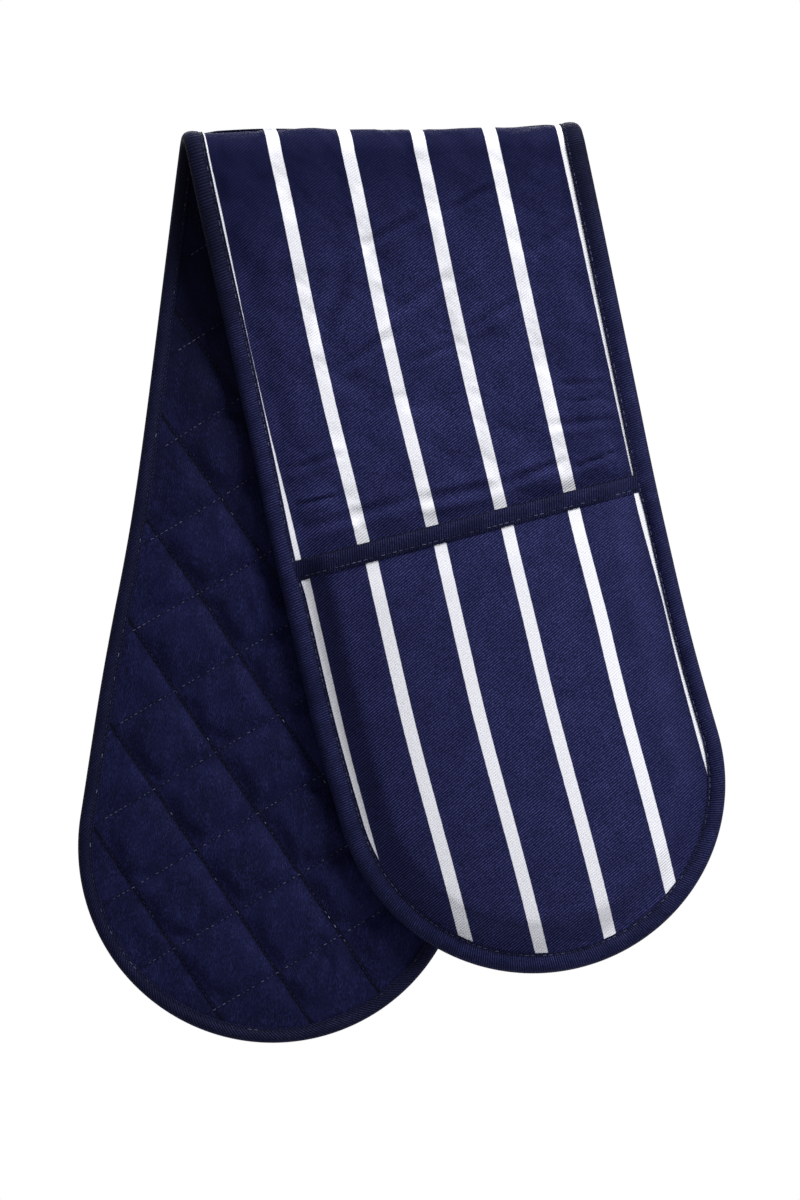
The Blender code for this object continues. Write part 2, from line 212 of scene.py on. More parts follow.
# %% [markdown]
# ## How full the padding is
# Sewing presses the layers flat at the bound edge, and the rail presses them at the fold.
# Everywhere else the wadding lifts the striped cloth. Sculpting could show that on one piece.
# Heights given by functions show it on every layer at once, and they follow the CAD solids.

# %% Heights of the layers
EDGE_FLAT = 0.010
EDGE_TAPER = 0.016
FILL_SHARE = 0.5


def edge_distance(leg, across, along):
    """How far inside the strip's outer edge a point is."""
    return HALF_WIDTH - math.hypot(max(along - leg.end, 0.0), across)


def fullness(leg, across, along):
    """0 where the layers are pressed flat and 1 where they are full."""
    inside = (edge_distance(leg, across, along) - EDGE_FLAT) / EDGE_TAPER
    below = (drop(leg, across, along) - CUT) / (leg.hang * FILL_SHARE)
    return smooth(inside) * smooth(below)


def panel_top(leg, across, along):
    return HALF_STACK + WADDING_LOFT * fullness(leg, across, along)


print("full padding lifts the cloth to", round(1000 * (HALF_STACK + WADDING_LOFT), 2), "mm")


# %% [markdown]
# ## The camera
# The photo was taken square on from far away, so the strip keeps its width from top to bottom.
# The fold line rises 2 degrees to the right, which is the camera's roll. A long lens three
# metres away gives the same flat view.

# %% Place the camera
PHOTO_WIDTH = 800
PHOTO_HEIGHT = 1200
METRES_PER_PIXEL = 0.0004639
CAMERA_DISTANCE = 3.0
CAMERA_ROLL = math.radians(2.0)
VIEW_CENTRE = Vector((0.0005, 0.0, -0.2135))

lens = bpy.data.cameras.new("camera")
lens.lens = lens.sensor_width * CAMERA_DISTANCE / (PHOTO_HEIGHT * METRES_PER_PIXEL)
camera = bpy.data.objects.new("camera", lens)
camera.location = VIEW_CENTRE + Vector((0.0, -CAMERA_DISTANCE, 0.0))
camera.rotation_euler = (math.pi / 2, CAMERA_ROLL, 0.0)
bpy.context.scene.collection.objects.link(camera)
bpy.context.scene.camera = camera
print("lens:", round(lens.lens, 1), "mm")


# %% From the photo to the flat pattern
SEARCH_ROUNDS = 30


def flat_place(leg, column, row):
    """The place on the flat pattern that the photo shows at a pixel: across and along."""
    aside = (column - PHOTO_WIDTH / 2) * METRES_PER_PIXEL
    down = (row - PHOTO_HEIGHT / 2) * METRES_PER_PIXEL
    x = VIEW_CENTRE.x + aside * math.cos(CAMERA_ROLL) - down * math.sin(CAMERA_ROLL)
    z = VIEW_CENTRE.z - aside * math.sin(CAMERA_ROLL) - down * math.cos(CAMERA_ROLL)
    across, along = 0.0, -z
    for _ in range(SEARCH_ROUNDS):
        spot = hang(leg, across, along, 0.0)
        slant = centre_line(leg, along)[2]
        over, under = x - spot.x, spot.z - z
        across += over * math.cos(slant) - leg.run * under * math.sin(slant)
        along += under * math.cos(slant) + leg.run * over * math.sin(slant)
    return across, along


print("the front mouth's left end:", flat_place(FRONT, 297, 560))


# %% [markdown]
# ## Materials
# All the cloth is cotton dyed navy. Its colour is never one flat value: threads catch the light,
# the dye is a little uneven, and a painted sheen makes the twill paler away from the fold. Painted
# shade darkens the seams, the grooves, and the lining and binding near the fold. Each cloth reads
# an attribute named cloth_place, which holds the point's place on the flat pattern, so that
# stripes and weave follow the cloth round every bend. Binding and thread have attributes of their
# own.

# %% A helper that adds shader nodes
SPECULAR = 0.06
SHEEN_ROUGHNESS = 0.4


class Recipe:
    """A material under construction. Each method adds a node and gives back its output."""

    def __init__(self, name):
        self.material = bpy.data.materials.new(name)
        self.material.use_nodes = True
        self.tree = self.material.node_tree
        self.shader = self.tree.nodes["Principled BSDF"]

    def add(self, kind, **settings):
        node = self.tree.nodes.new(kind)
        for key, value in settings.items():
            setattr(node, key, value)
        return node

    def feed(self, socket, value):
        """Links an output to a socket, or writes a plain value there."""
        if isinstance(value, bpy.types.NodeSocket):
            self.tree.links.new(value, socket)
        else:
            socket.default_value = value

    def place(self, name="cloth_place"):
        return self.add("ShaderNodeAttribute", attribute_name=name).outputs["Vector"]

    def parts(self, vector):
        node = self.add("ShaderNodeSeparateXYZ")
        self.feed(node.inputs[0], vector)
        return node.outputs["X"], node.outputs["Y"], node.outputs["Z"]

    def math(self, operation, *values, clamp=False):
        node = self.add("ShaderNodeMath", operation=operation, use_clamp=clamp)
        for socket, value in zip(node.inputs, values):
            self.feed(socket, value)
        return node.outputs[0]

    def ramp(self, value, low, high, start=0.0, end=1.0):
        """Takes low..high to start..end with soft ends."""
        node = self.add("ShaderNodeMapRange", interpolation_type="SMOOTHSTEP")
        for socket, given in zip(node.inputs, (value, low, high, start, end)):
            self.feed(socket, given)
        return node.outputs[0]

    def mottle(self, vector, size, stretch=None, detail=2.0, roughness=0.5):
        """Soft noise from 0 to 1 in patches of about size metres. A stretch below 1 draws them
        out along the leg."""
        if stretch:
            longer = self.add("ShaderNodeVectorMath", operation="MULTIPLY")
            self.feed(longer.inputs[0], vector)
            self.feed(longer.inputs[1], (1.0, stretch, 1.0))
            vector = longer.outputs["Vector"]
        node = self.add("ShaderNodeTexNoise")
        self.feed(node.inputs["Vector"], vector)
        node.inputs["Scale"].default_value = 1 / size
        node.inputs["Detail"].default_value = detail
        node.inputs["Roughness"].default_value = roughness
        return node.outputs["Fac"]

    def blend(self, share, first, second):
        node = self.add("ShaderNodeMix", data_type="RGBA")
        self.feed(node.inputs["Factor"], share)
        self.feed(node.inputs["A"], first)
        self.feed(node.inputs["B"], second)
        return node.outputs["Result"]

    def dimmed(self, colour, share):
        node = self.add("ShaderNodeVectorMath", operation="SCALE")
        self.feed(node.inputs[0], colour)
        self.feed(node.inputs["Scale"], share)
        return node.outputs["Vector"]

    def bump(self, height, depth):
        node = self.add("ShaderNodeBump")
        node.inputs["Strength"].default_value = 1.0
        node.inputs["Distance"].default_value = depth
        self.feed(node.inputs["Height"], height)
        return node.outputs["Normal"]

    def finish(self, colour, normal, roughness, sheen, sheen_colour):
        """Sets the shader's sockets: the surface is dull cotton with a soft fuzz."""
        self.feed(self.shader.inputs["Base Color"], colour)
        self.feed(self.shader.inputs["Normal"], normal)
        self.shader.inputs["Roughness"].default_value = roughness
        self.shader.inputs["Specular IOR Level"].default_value = SPECULAR
        self.shader.inputs["Sheen Weight"].default_value = sheen
        self.shader.inputs["Sheen Roughness"].default_value = SHEEN_ROUGHNESS
        self.shader.inputs["Sheen Tint"].default_value = (*sheen_colour, 1.0)
        print("made the material", self.material.name)
        return self.material


# %% [markdown]
# ### Striped twill
# Twill shows fine slanting ribs, about 1 mm apart. The butcher stripes are woven in: white
# threads in place of navy ones, so their edges are crisp and the ribs run through them. An image
# could hold all this, but waves and noise made by nodes stay sharp however close one looks.

# %% Ribs and painted sheen
PAINTED_SHEEN_START = 0.12
PAINTED_SHEEN_GAIN = 0.88


def twill_ribs(recipe, across, along, pitch, turn):
    """A wave from 0 to 1 over slanting ribs, whose lines stand at the given turn."""
    sideways = recipe.math("MULTIPLY", across, -math.sin(turn) * math.tau / pitch)
    total = recipe.math("MULTIPLY_ADD", along, math.cos(turn) * math.tau / pitch, sideways)
    return recipe.math("MULTIPLY_ADD", recipe.math("SINE", total), 0.5, 0.5)


def painted_sheen_share(recipe, across, along):
    """Painted sheen: how far the pale threads show, as the twill's gloss would. Near the fold and
    the edges it is less.
    """
    down = recipe.ramp(along, 0.005, 0.09)
    left = recipe.ramp(across, -0.08, 0.03, 0.75, 1.0)
    right = recipe.ramp(across, 0.03, 0.085, 1.0, 0.55)
    brightened = recipe.math("MULTIPLY", down, recipe.math("MULTIPLY", left, right))
    return recipe.math("MULTIPLY_ADD", brightened, PAINTED_SHEEN_GAIN, PAINTED_SHEEN_START)


# The least painted sheen, at the fold
print("the least rubbed cloth shows", PAINTED_SHEEN_START, "of the pale threads")


# %% Where the stripes drift
STRIP_DRIFT = 0.0016
POCKET_DRIFT = 0.0031
POCKET_DRIFT_LEFT = 0.0008


def strip_drift(recipe, across, along):
    """The strip's stripes drift a little to the left halfway, where the cloth was pulled."""
    starts = recipe.ramp(along, 0.02, 0.10)
    bump = recipe.math("MULTIPLY", starts, recipe.ramp(along, 0.12, 0.19, 1.0, 0.0))
    left = recipe.ramp(across, -0.02, 0.09, STRIP_DRIFT, 0.0)
    return recipe.math("MULTIPLY_ADD", bump, left, across)


def pocket_drift(recipe, across, along):
    """The pocket is drawn to the left at its mouth, its right half most."""
    above = recipe.ramp(along, 0.19, 0.26, 1.0, 0.0)
    right = recipe.ramp(across, -0.02, 0.09, POCKET_DRIFT_LEFT, POCKET_DRIFT)
    return recipe.math("MULTIPLY_ADD", above, right, across)


print("the pocket's stripes drift by up to", POCKET_DRIFT * 1000, "mm")


# %% Build the striped twill
NAVY = (0.0030, 0.0036, 0.024, 1.0)
NAVY_DEEP = (0.0020, 0.0025, 0.019, 1.0)
# NAVY_LIGHT is the pale threads' colour, which the painted sheen brings out away from the fold
NAVY_LIGHT = (0.058, 0.063, 0.215, 1.0)
WHITE = (0.82, 0.82, 0.86, 1.0)
WHITE_SHADED = (0.66, 0.66, 0.72, 1.0)
STRIPE_WIDTH = 0.00585
STRIPE_EDGE = 0.00018
STRIPE_WOBBLE = 0.00030
WOBBLE_SIZE = 0.0012
SLUB_SIZE = 0.0006
PATCH_SIZE = 0.014
TWILL_DEPTH = 0.00016
TWILL_PITCH = 0.0011
TWILL_TURN = math.radians(-25)
NO_TINT = (1.0, 1.0, 1.0)
FUZZ_TINT = (0.45, 0.48, 1.0)

# Pitches added to a place, so that it is never negative where the stripes are counted
STRIPES_BEFORE = 50.5


def striped_twill(name, pitch, shift, skew, drift):
    """Twill whose stripes have a pitch, a shift across the strip, a skew along it and a drift."""
    recipe = Recipe(name)
    place = recipe.place()
    across, along, _ = recipe.parts(place)
    moved = recipe.math("SUBTRACT", drift(recipe, across, along), shift)
    moved = recipe.math("MULTIPLY_ADD", along, -math.tan(skew), moved)
    beside = recipe.math("PINGPONG", recipe.math("ADD", moved, pitch * STRIPES_BEFORE), pitch / 2)
    wobble = recipe.mottle(place, WOBBLE_SIZE, stretch=0.35)
    wobble = recipe.math("MULTIPLY_ADD", wobble, STRIPE_WOBBLE, -STRIPE_WOBBLE / 2)
    far = recipe.math("ADD", beside, wobble)
    half = STRIPE_WIDTH / 2
    stripe = recipe.ramp(far, half - STRIPE_EDGE, half + STRIPE_EDGE, 1.0, 0.0)

    ribs = twill_ribs(recipe, across, along, TWILL_PITCH, TWILL_TURN)
    slub = recipe.mottle(place, SLUB_SIZE, stretch=0.50, detail=3.0, roughness=0.7)
    patch = recipe.mottle(place, PATCH_SIZE, detail=3.0, roughness=0.6)
    uneven_thread = recipe.ramp(slub, 0.32, 0.68, 0.15, 1.0)
    thread = recipe.math("MULTIPLY", recipe.ramp(ribs, 0.15, 0.95), uneven_thread)
    pale_threads_and_sheen = recipe.math("MULTIPLY", thread, recipe.ramp(patch, 0.25, 0.8, 0.62, 1.0))
    navy = recipe.blend(recipe.ramp(patch, 0.3, 0.75, 0.6, 0.2), NAVY, NAVY_DEEP)
    # Painted sheen: more of the pale threads show away from the fold and the edges
    pale_threads_and_sheen = recipe.math("MULTIPLY", pale_threads_and_sheen, painted_sheen_share(recipe, across, along))
    navy = recipe.blend(pale_threads_and_sheen, navy, NAVY_LIGHT)
    white = recipe.blend(recipe.math("MULTIPLY", ribs, 0.6), WHITE_SHADED, WHITE)
    colour = recipe.blend(stripe, navy, white)
    weave = recipe.math("MULTIPLY_ADD", slub, 0.6, ribs)
    normal = recipe.bump(weave, TWILL_DEPTH)
    return recipe.finish(colour, normal, roughness=0.72, sheen=0.01, sheen_colour=FUZZ_TINT)


strip_twill = striped_twill(
    "striped_twill_strip", pitch=0.0328, shift=-0.0010, skew=math.radians(0.6), drift=strip_drift
)
pocket_twill = striped_twill(
    "striped_twill_pocket", pitch=0.0326, shift=0.0068, skew=math.radians(-1.0), drift=pocket_drift
)
print("twill ribs:", TWILL_PITCH * 1000, "mm apart")


# %% [markdown]
# ### Quilted cotton, binding, wadding and thread
# The lining is a softer cloth with a short brushed nap that runs down the glove. The bias
# binding is twill cut slantwise, so that it bends round the ends, and its ribs cross it aslant.
# The wadding is undyed cotton, and the thread is a shiny navy. Each is a small recipe of the
# same helpers, so what sets them apart is easy to compare.

# %% Build the lining's cotton
LINING_NAVY = (0.0036, 0.0042, 0.024, 1.0)
LINING_LIGHT = (0.014, 0.016, 0.072, 1.0)
LINING_DEEP = (0.0018, 0.0024, 0.014, 1.0)
# The colour of the painted shade in seams and stitch grooves
PAINTED_SEAM_SHADE = (0.0008, 0.0009, 0.004, 1.0)
QUILT_PITCH = 0.034
NAP_SIZE = 0.00045
STREAK_SIZE = 0.004
LINING_PATCH_SIZE = 0.018
NAP_DEPTH = 0.00022

# Pitches added to a place where the seams are counted, as for the stripes
SEAMS_BEFORE = 100.0

# The width and the darkness of the painted seam shade, for each of the two sets of seams. The
# second set lies across the light and is painted darker.
SEAMS = ((0.0010, 0.50), (0.0016, 1.0))


def brushed_cotton(name, seams=()):
    """Brushed cotton with painted shade in the valleys of its seams, where the stitches press the
    nap flat, and painted shade towards the fold.
    """
    recipe = Recipe(name)
    place = recipe.place()
    nap = recipe.mottle(place, NAP_SIZE, stretch=0.25, roughness=0.6)
    patch = recipe.mottle(place, LINING_PATCH_SIZE, detail=3.0, roughness=0.6)
    streak = recipe.mottle(place, STREAK_SIZE, stretch=0.3)
    base = recipe.blend(recipe.ramp(patch, 0.3, 0.7), LINING_DEEP, LINING_NAVY)
    streaks = recipe.ramp(streak, 0.3, 0.8, 0.35, 1.0)
    brightened = recipe.math("MULTIPLY", recipe.ramp(nap, 0.40, 0.72), streaks)
    colour = recipe.blend(brightened, base, LINING_LIGHT)
    along = recipe.parts(place)[1]
    # Painted shade: darker towards the fold, where the lining lies in the shade between the legs
    colour = recipe.dimmed(colour, recipe.ramp(along, 0.05, 0.23, 0.40, 1.0))
    for count, (width, share) in zip(recipe.parts(recipe.place("quilt_place")), seams):
        beside = recipe.math("PINGPONG", recipe.math("ADD", count, SEAMS_BEFORE), 0.5)
        seam_shade_share = recipe.ramp(beside, 0.0, width / QUILT_PITCH, share, 0.0)
        colour = recipe.blend(seam_shade_share, colour, PAINTED_SEAM_SHADE)
    normal = recipe.bump(recipe.math("MULTIPLY_ADD", streak, 0.5, nap), NAP_DEPTH)
    return recipe.finish(colour, normal, roughness=0.82, sheen=0.01, sheen_colour=FUZZ_TINT)


lining_cotton = brushed_cotton("brushed_lining", SEAMS)
pocket_cotton = brushed_cotton("brushed_pocket_lining")

# %% Build the binding's twill
BINDING_NAVY = (0.0018, 0.0024, 0.016, 1.0)
BINDING_LIGHT = (0.048, 0.053, 0.180, 1.0)
BINDING_RIB = 0.0011
FLECK_SIZE = 0.0005
BINDING_PATCH_SIZE = 0.012
RIB_DEPTH = 0.00020
GROOVE_WIDTH = 0.0010
GROOVE_SHADE_SHARE = 0.85


def bias_twill(name, grooves, painted_shades):
    """Twill with painted shade in the grooves that its stitches press, and a painted shadow at the
    mouth's fold. The two painted shade factors are for the side on the lining and the outer side."""
    recipe = Recipe(name)
    place = recipe.place("binding_place")
    round_it, along, from_fold = recipe.parts(place)
    ribs = twill_ribs(recipe, round_it, along, BINDING_RIB, 0.0)
    fleck = recipe.mottle(place, FLECK_SIZE, detail=3.0, roughness=0.7)
    patch = recipe.mottle(place, BINDING_PATCH_SIZE)
    lit = recipe.math("MULTIPLY", recipe.ramp(ribs, 0.15, 0.95), recipe.ramp(fleck, 0.35, 0.75))
    lit = recipe.math("MULTIPLY", lit, recipe.ramp(patch, 0.2, 0.8, 0.3, 0.9))
    colour = recipe.blend(lit, BINDING_NAVY, BINDING_LIGHT)
    # Painted shade towards the glove's fold
    colour = recipe.dimmed(colour, recipe.ramp(from_fold, 0.02, 0.13, 0.4, 1.0))
    # Painted shade on the lining side. The edge binding's outer side gets painted light, and the
    # mouth's binding is painted darker on both sides
    colour = recipe.dimmed(colour, recipe.ramp(round_it, -0.002, 0.002, *painted_shades))
    # Painted shade along each line
    for groove in grooves:
        beside = recipe.math("ABSOLUTE", recipe.math("SUBTRACT", round_it, groove))
        groove_shade_share = recipe.ramp(beside, 0.0, GROOVE_WIDTH, GROOVE_SHADE_SHARE, 0.0)
        colour = recipe.blend(groove_shade_share, colour, PAINTED_SEAM_SHADE)
    normal = recipe.bump(recipe.math("MULTIPLY_ADD", fleck, 0.4, ribs), RIB_DEPTH)
    return recipe.finish(colour, normal, roughness=0.68, sheen=0.02, sheen_colour=FUZZ_TINT)


# The edge binding: painted shade on its lining side and painted light outside. The mouth: the line
# at 0.0 is a painted shadow along its folded edge
edge_twill = bias_twill("bias_twill_edge", grooves=(0.0080, -0.0058), painted_shades=(0.65, 1.20))
mouth_twill = bias_twill("bias_twill_mouth", grooves=(0.0074, 0.0, -0.0074), painted_shades=(0.85, 0.85))

# %% Build the wadding and the threads
WADDING_WHITE = (0.80, 0.79, 0.75, 1.0)
WADDING_SHADE = (0.58, 0.56, 0.52, 1.0)
THREAD_NAVY = (0.010, 0.011, 0.050, 1.0)
# The colour of the painted glints on the stitches
THREAD_GLINT = (0.34, 0.40, 0.66, 1.0)
FIBRE_SIZE = 0.0015
FIBRE_DEPTH = 0.0008
PLY_PITCH = 0.0005
PLY_TURN = math.radians(35)
PLY_DEPTH = 0.00006


def cotton_wadding(name):
    recipe = Recipe(name)
    place = recipe.place()
    fibre = recipe.mottle(place, FIBRE_SIZE, stretch=0.5, detail=6.0, roughness=0.7)
    colour = recipe.blend(recipe.ramp(fibre, 0.35, 0.65), WADDING_SHADE, WADDING_WHITE)
    normal = recipe.bump(fibre, FIBRE_DEPTH)
    return recipe.finish(colour, normal, roughness=0.95, sheen=0.2, sheen_colour=NO_TINT)


def sewing_thread(name):
    """Two-ply thread: a fine slanting twist, and a painted glint that makes some stitches paler."""
    recipe = Recipe(name)
    ply = recipe.place("thread_place")
    twist, run, painted_glint = recipe.parts(ply)
    ribs = twill_ribs(recipe, twist, run, PLY_PITCH, PLY_TURN)
    colour = recipe.blend(painted_glint, THREAD_NAVY, THREAD_GLINT)
    normal = recipe.bump(ribs, PLY_DEPTH)
    return recipe.finish(colour, normal, roughness=0.38, sheen=0.0, sheen_colour=NO_TINT)


wadding_cotton = cotton_wadding("cotton_wadding")
navy_thread = sewing_thread("navy_thread")
print("materials:", len(bpy.data.materials))


# %% [markdown]
# ## Cutting the flat cloth
# Each flat shape starts as a grid. The last rows are bent into the round end with the formula
# that takes a square to a disc, so that all the faces stay four-sided and even. The first row
# is sheared to lie along the fold.

# %% A grid in the shape of a leg
WEAVE_STEP = 0.0025
SHEAR_FADE = 0.070


def rounded(mesh, leg, start, half):
    """Bends a grid, whose X is -1..1 and Y metres down the leg, to the leg's round outline."""
    for vert in mesh.verts:
        u, down = vert.co.x, vert.co.y
        v = max(down - leg.end, 0.0) / half
        across = half * u * math.sqrt(1 - v * v / 2)
        along = min(down, leg.end) + half * v * math.sqrt(1 - u * u / 2)
        shear = math.tan(FOLD_SKEW if start == 0.0 else -MOUTH_SKEW)
        along += across * leg.run * shear * (1 - smooth((down - start) / SHEAR_FADE))
        vert.co = (across, along, 0.0)


def flat_cloth(leg, inset, start=0.0, step=WEAVE_STEP):
    """The flat shape of one layer, from a start down the leg to its round end."""
    half = HALF_WIDTH - inset
    length = leg.end + half - start
    columns = 2 * round(half / step)
    rows = round(length / step)
    spread = Matrix.Translation((0.0, start + length / 2, 0.0)) @ Matrix.Diagonal((2, length, 1, 1))
    mesh = bmesh.new()
    bmesh.ops.create_grid(mesh, x_segments=columns, y_segments=rows, size=0.5, matrix=spread)
    rounded(mesh, leg, start, half)
    return mesh


print("the striped cloth of the pockets has faces of about", WEAVE_STEP * 1000, "mm")

# %% From flat cloth to a sheet in space
SHARP_ANGLE = math.radians(50)
SAME_PLACE = 1e-6


def as_object(mesh, name, material):
    """Makes the object, with outward faces and smooth shading."""
    bmesh.ops.recalc_face_normals(mesh, faces=mesh.faces)
    data = bpy.data.meshes.new(name)
    mesh.to_mesh(data)
    mesh.free()
    data.materials.append(material)
    data.shade_smooth()
    data.set_sharp_from_angle(angle=SHARP_ANGLE)
    piece = bpy.data.objects.new(name, data)
    bpy.context.scene.collection.objects.link(piece)
    print("made", name, "with", len(data.polygons), "faces")
    return piece


def hung_cloth(mesh, leg, low, high, name, material):
    """Gives a flat sheet its thickness, between two heights, and hangs it on its leg."""
    layer = mesh.verts.layers.float_vector.new("cloth_place")
    quilt_layer = mesh.verts.layers.float_vector.new("quilt_place")
    made = bmesh.ops.extrude_face_region(mesh, geom=mesh.faces[:])
    upper = {part for part in made["geom"] if isinstance(part, bmesh.types.BMVert)}
    for vert in mesh.verts:
        across, along, swell = vert.co
        height = (high if vert in upper else low)(leg, across, along, swell)
        vert[layer] = (across, along, height)
        vert[quilt_layer] = (*quilt_place(leg, across, along), 0.0)
        vert.co = hang(leg, across, along, height)
    return as_object(mesh, name, material)


# %% [markdown]
# ### Creases
# Use leaves creases. The photo shows where they lie on the front leg and on the quilted side of
# the rear leg, so each is given by the two pixels that it runs between. In section a crease is
# a small valley between two lower ridges. Finer unevenness comes from noise. A simulation makes
# creases too, but not where the photo has them.

# %% Place the creases
Crease = namedtuple("Crease", "start end breadth depth")

FRONT_CREASES = [
    ((352, 256), (434, 208), 0.0034, 0.0007), ((440, 218), (500, 184), 0.0028, 0.0006),
    ((380, 324), (466, 266), 0.0042, 0.0006), ((330, 378), (404, 326), 0.0036, 0.0007),
    ((400, 368), (466, 340), 0.0026, 0.0005), ((462, 336), (526, 294), 0.0034, 0.0006),
    ((312, 362), (352, 252), 0.0050, 0.0006), ((548, 386), (624, 382), 0.0020, 0.0004),
    ((552, 404), (626, 398), 0.0019, 0.0004), ((540, 428), (626, 418), 0.0028, 0.0006),
    ((492, 490), (572, 458), 0.0030, 0.0008), ((560, 474), (638, 444), 0.0020, 0.0005),
    ((410, 504), (506, 484), 0.0040, 0.0007), ((286, 508), (350, 494), 0.0018, 0.0006),
    ((290, 534), (430, 494), 0.0036, 0.0006), ((280, 474), (350, 452), 0.0026, 0.0005),
    ((226, 300), (282, 228), 0.0040, 0.0005), ((520, 262), (590, 214), 0.0036, 0.0004),
]
LINING_CREASES = [
    ((193, 940), (188, 980), 0.0014, 0.0005), ((240, 1000), (232, 1030), 0.0014, 0.0006),
    ((202, 896), (196, 934), 0.0022, 0.0004), ((243, 834), (237, 876), 0.0020, 0.0004),
    ((331, 952), (326, 996), 0.0024, 0.0004), ((140, 484), (196, 494), 0.0016, 0.0004),
    ((196, 548), (232, 560), 0.0016, 0.0004), ((150, 398), (214, 378), 0.0022, 0.0004),
    ((246, 590), (256, 640), 0.0024, 0.0004), ((262, 762), (276, 800), 0.0020, 0.0003),
    ((110, 850), (124, 890), 0.0022, 0.0003), ((300, 700), (282, 752), 0.0020, 0.0003),
]


print("creases:", len(FRONT_CREASES), "on a panel and", len(LINING_CREASES), "on a lining")


# %% Take the creases to both legs
def placed(leg, creases):
    """The creases of a list with their ends on the flat pattern."""
    return [
        Crease(Vector(flat_place(leg, *start)), Vector(flat_place(leg, *end)), breadth, depth)
        for start, end, breadth, depth in creases
    ]


def mirrored(leg, creases):
    """The same creases for the other leg, turned over."""
    return [
        Crease(Vector((-crease.start.x, crease.start.y)), Vector((-crease.end.x, crease.end.y)),
               crease.breadth, crease.depth)
        for crease in creases
    ]


panel_creases = {"front": placed(FRONT, FRONT_CREASES)}
panel_creases["rear"] = mirrored(REAR, panel_creases["front"])
lining_creases = {"rear": placed(REAR, LINING_CREASES)}
lining_creases["front"] = mirrored(FRONT, lining_creases["rear"])
print("the first crease starts at", panel_creases["front"][0].start[:])

# %% How high a crease stands
CREASE_ENDS = 0.35
CREASE_SHARPNESS = 2.1


def creased(creases, across, along):
    """The height that creases add at a point."""
    point = Vector((across, along))
    height = 0.0
    for crease in creases:
        run = crease.end - crease.start
        share = (point - crease.start).dot(run) / run.length_squared
        if 0 < share < 1:
            beside = (point - crease.start - run * share).length / crease.breadth
            valley = (1 - 2 * beside * beside) * math.exp(-beside * beside)
            ends = smooth(share / CREASE_ENDS) * smooth((1 - share) / CREASE_ENDS)
            height -= CREASE_SHARPNESS * crease.depth * valley * ends
    return height


print("crease height 150 mm down:", round(creased(panel_creases["front"], 0.0, 0.15), 5))

# %% Rumples and fine unevenness
RUMPLE_TURN = math.radians(27)
RUMPLE_LENGTH = 0.042
RUMPLE_BREADTH = 0.012
RUMPLE_DEPTH = 0.0011
RUMPLE_SLICE = 2.5
ROUGH_SLICE = 0.5


def rumpled(across, along):
    """Long soft waves that run the way the creases do, as where a hand has bent the glove."""
    lengthways = across * math.cos(RUMPLE_TURN) - along * math.sin(RUMPLE_TURN)
    crossways = across * math.sin(RUMPLE_TURN) + along * math.cos(RUMPLE_TURN)
    spot = Vector((lengthways / RUMPLE_LENGTH, crossways / RUMPLE_BREADTH, RUMPLE_SLICE))
    return RUMPLE_DEPTH * noise.noise(spot)


def uneven(across, along, size, depth):
    """A soft random height with bumps of about the given size."""
    return depth * noise.noise(Vector((across / size, along / size, ROUGH_SLICE)))


print("rumples are up to", RUMPLE_DEPTH * 1000, "mm high")


# %% [markdown]
# ## Letting the cloth settle
# Sewn cloth is a little longer than the padding under it, so it puffs up and puckers between
# its seams. Blender's cloth simulation does the same: the seams are held, the sheet grows by
# a few hundredths, and a light pressure stands for the wadding that pushes from below.

# %% The cloth simulation
COTTON = {
    "quality": 4, "mass": 0.15, "tension_stiffness": 12, "compression_stiffness": 12,
    "shear_stiffness": 6, "bending_stiffness": 0.3, "air_damping": 1.0, "use_pressure": True,
    "vertex_group_mass": "held",
}


def settled(mesh, held, growth, pressure, frames, cap):
    """Moves a flat sheet's vertices to where they rest. The held ones stay, and none goes
    further than cap."""
    mesh.verts.index_update()
    flat = [vert.co.copy() for vert in mesh.verts]
    data = bpy.data.meshes.new("settling")
    mesh.to_mesh(data)
    sheet = bpy.data.objects.new("settling", data)
    bpy.context.scene.collection.objects.link(sheet)
    pins = sheet.vertex_groups.new(name="held")
    pins.add([vert.index for vert in held], 1.0, "REPLACE")
    cloth = sheet.modifiers.new("cloth", "CLOTH")
    cloth.point_cache.frame_end = frames
    for key, value in COTTON.items():
        setattr(cloth.settings, key, value)
    cloth.settings.uniform_pressure_force = pressure
    cloth.settings.shrink_min = -growth
    cloth.settings.effector_weights.gravity = 0.0
    for step in range(1, frames + 1):
        bpy.context.scene.frame_set(step)
    rested = sheet.evaluated_get(bpy.context.evaluated_depsgraph_get()).to_mesh()
    for vert, rest in zip(mesh.verts, rested.vertices):
        move = rest.co - flat[vert.index]
        if move.length > cap:
            move *= cap / move.length
        vert.co = flat[vert.index] + move
    bpy.data.objects.remove(sheet)
    bpy.context.scene.frame_set(1)
    heights = [round(vert.co.z, 5) for vert in mesh.verts]
    print("settled", len(heights), "points, from", min(heights), "to", max(heights))


# %% [markdown]
# ## The quilted lining
# The lining is the inner, palm side of the glove. Two sets of slanting stitch lines, 34 mm
# apart, sew it to the wadding in diamonds. A grid that is slanted the same way has a row of
# vertices right on each line, so those can be held while the rest puffs up.

# %% The slanted grid
QUILT_LEFT_TURN = math.radians(49.5)
QUILT_RIGHT_TURN = math.radians(43.5)
QUILT_CROSS_ALONG = -0.3722
QUILT_CROSS_ACROSS = -0.0109
QUILT_CELLS = 16
HEM_INSET = 0.0028


def quilt_reach(leg):
    """How far the slanted lines must run from the leg's middle to cover all of it."""
    return leg.end / 2 + STRIP_WIDTH


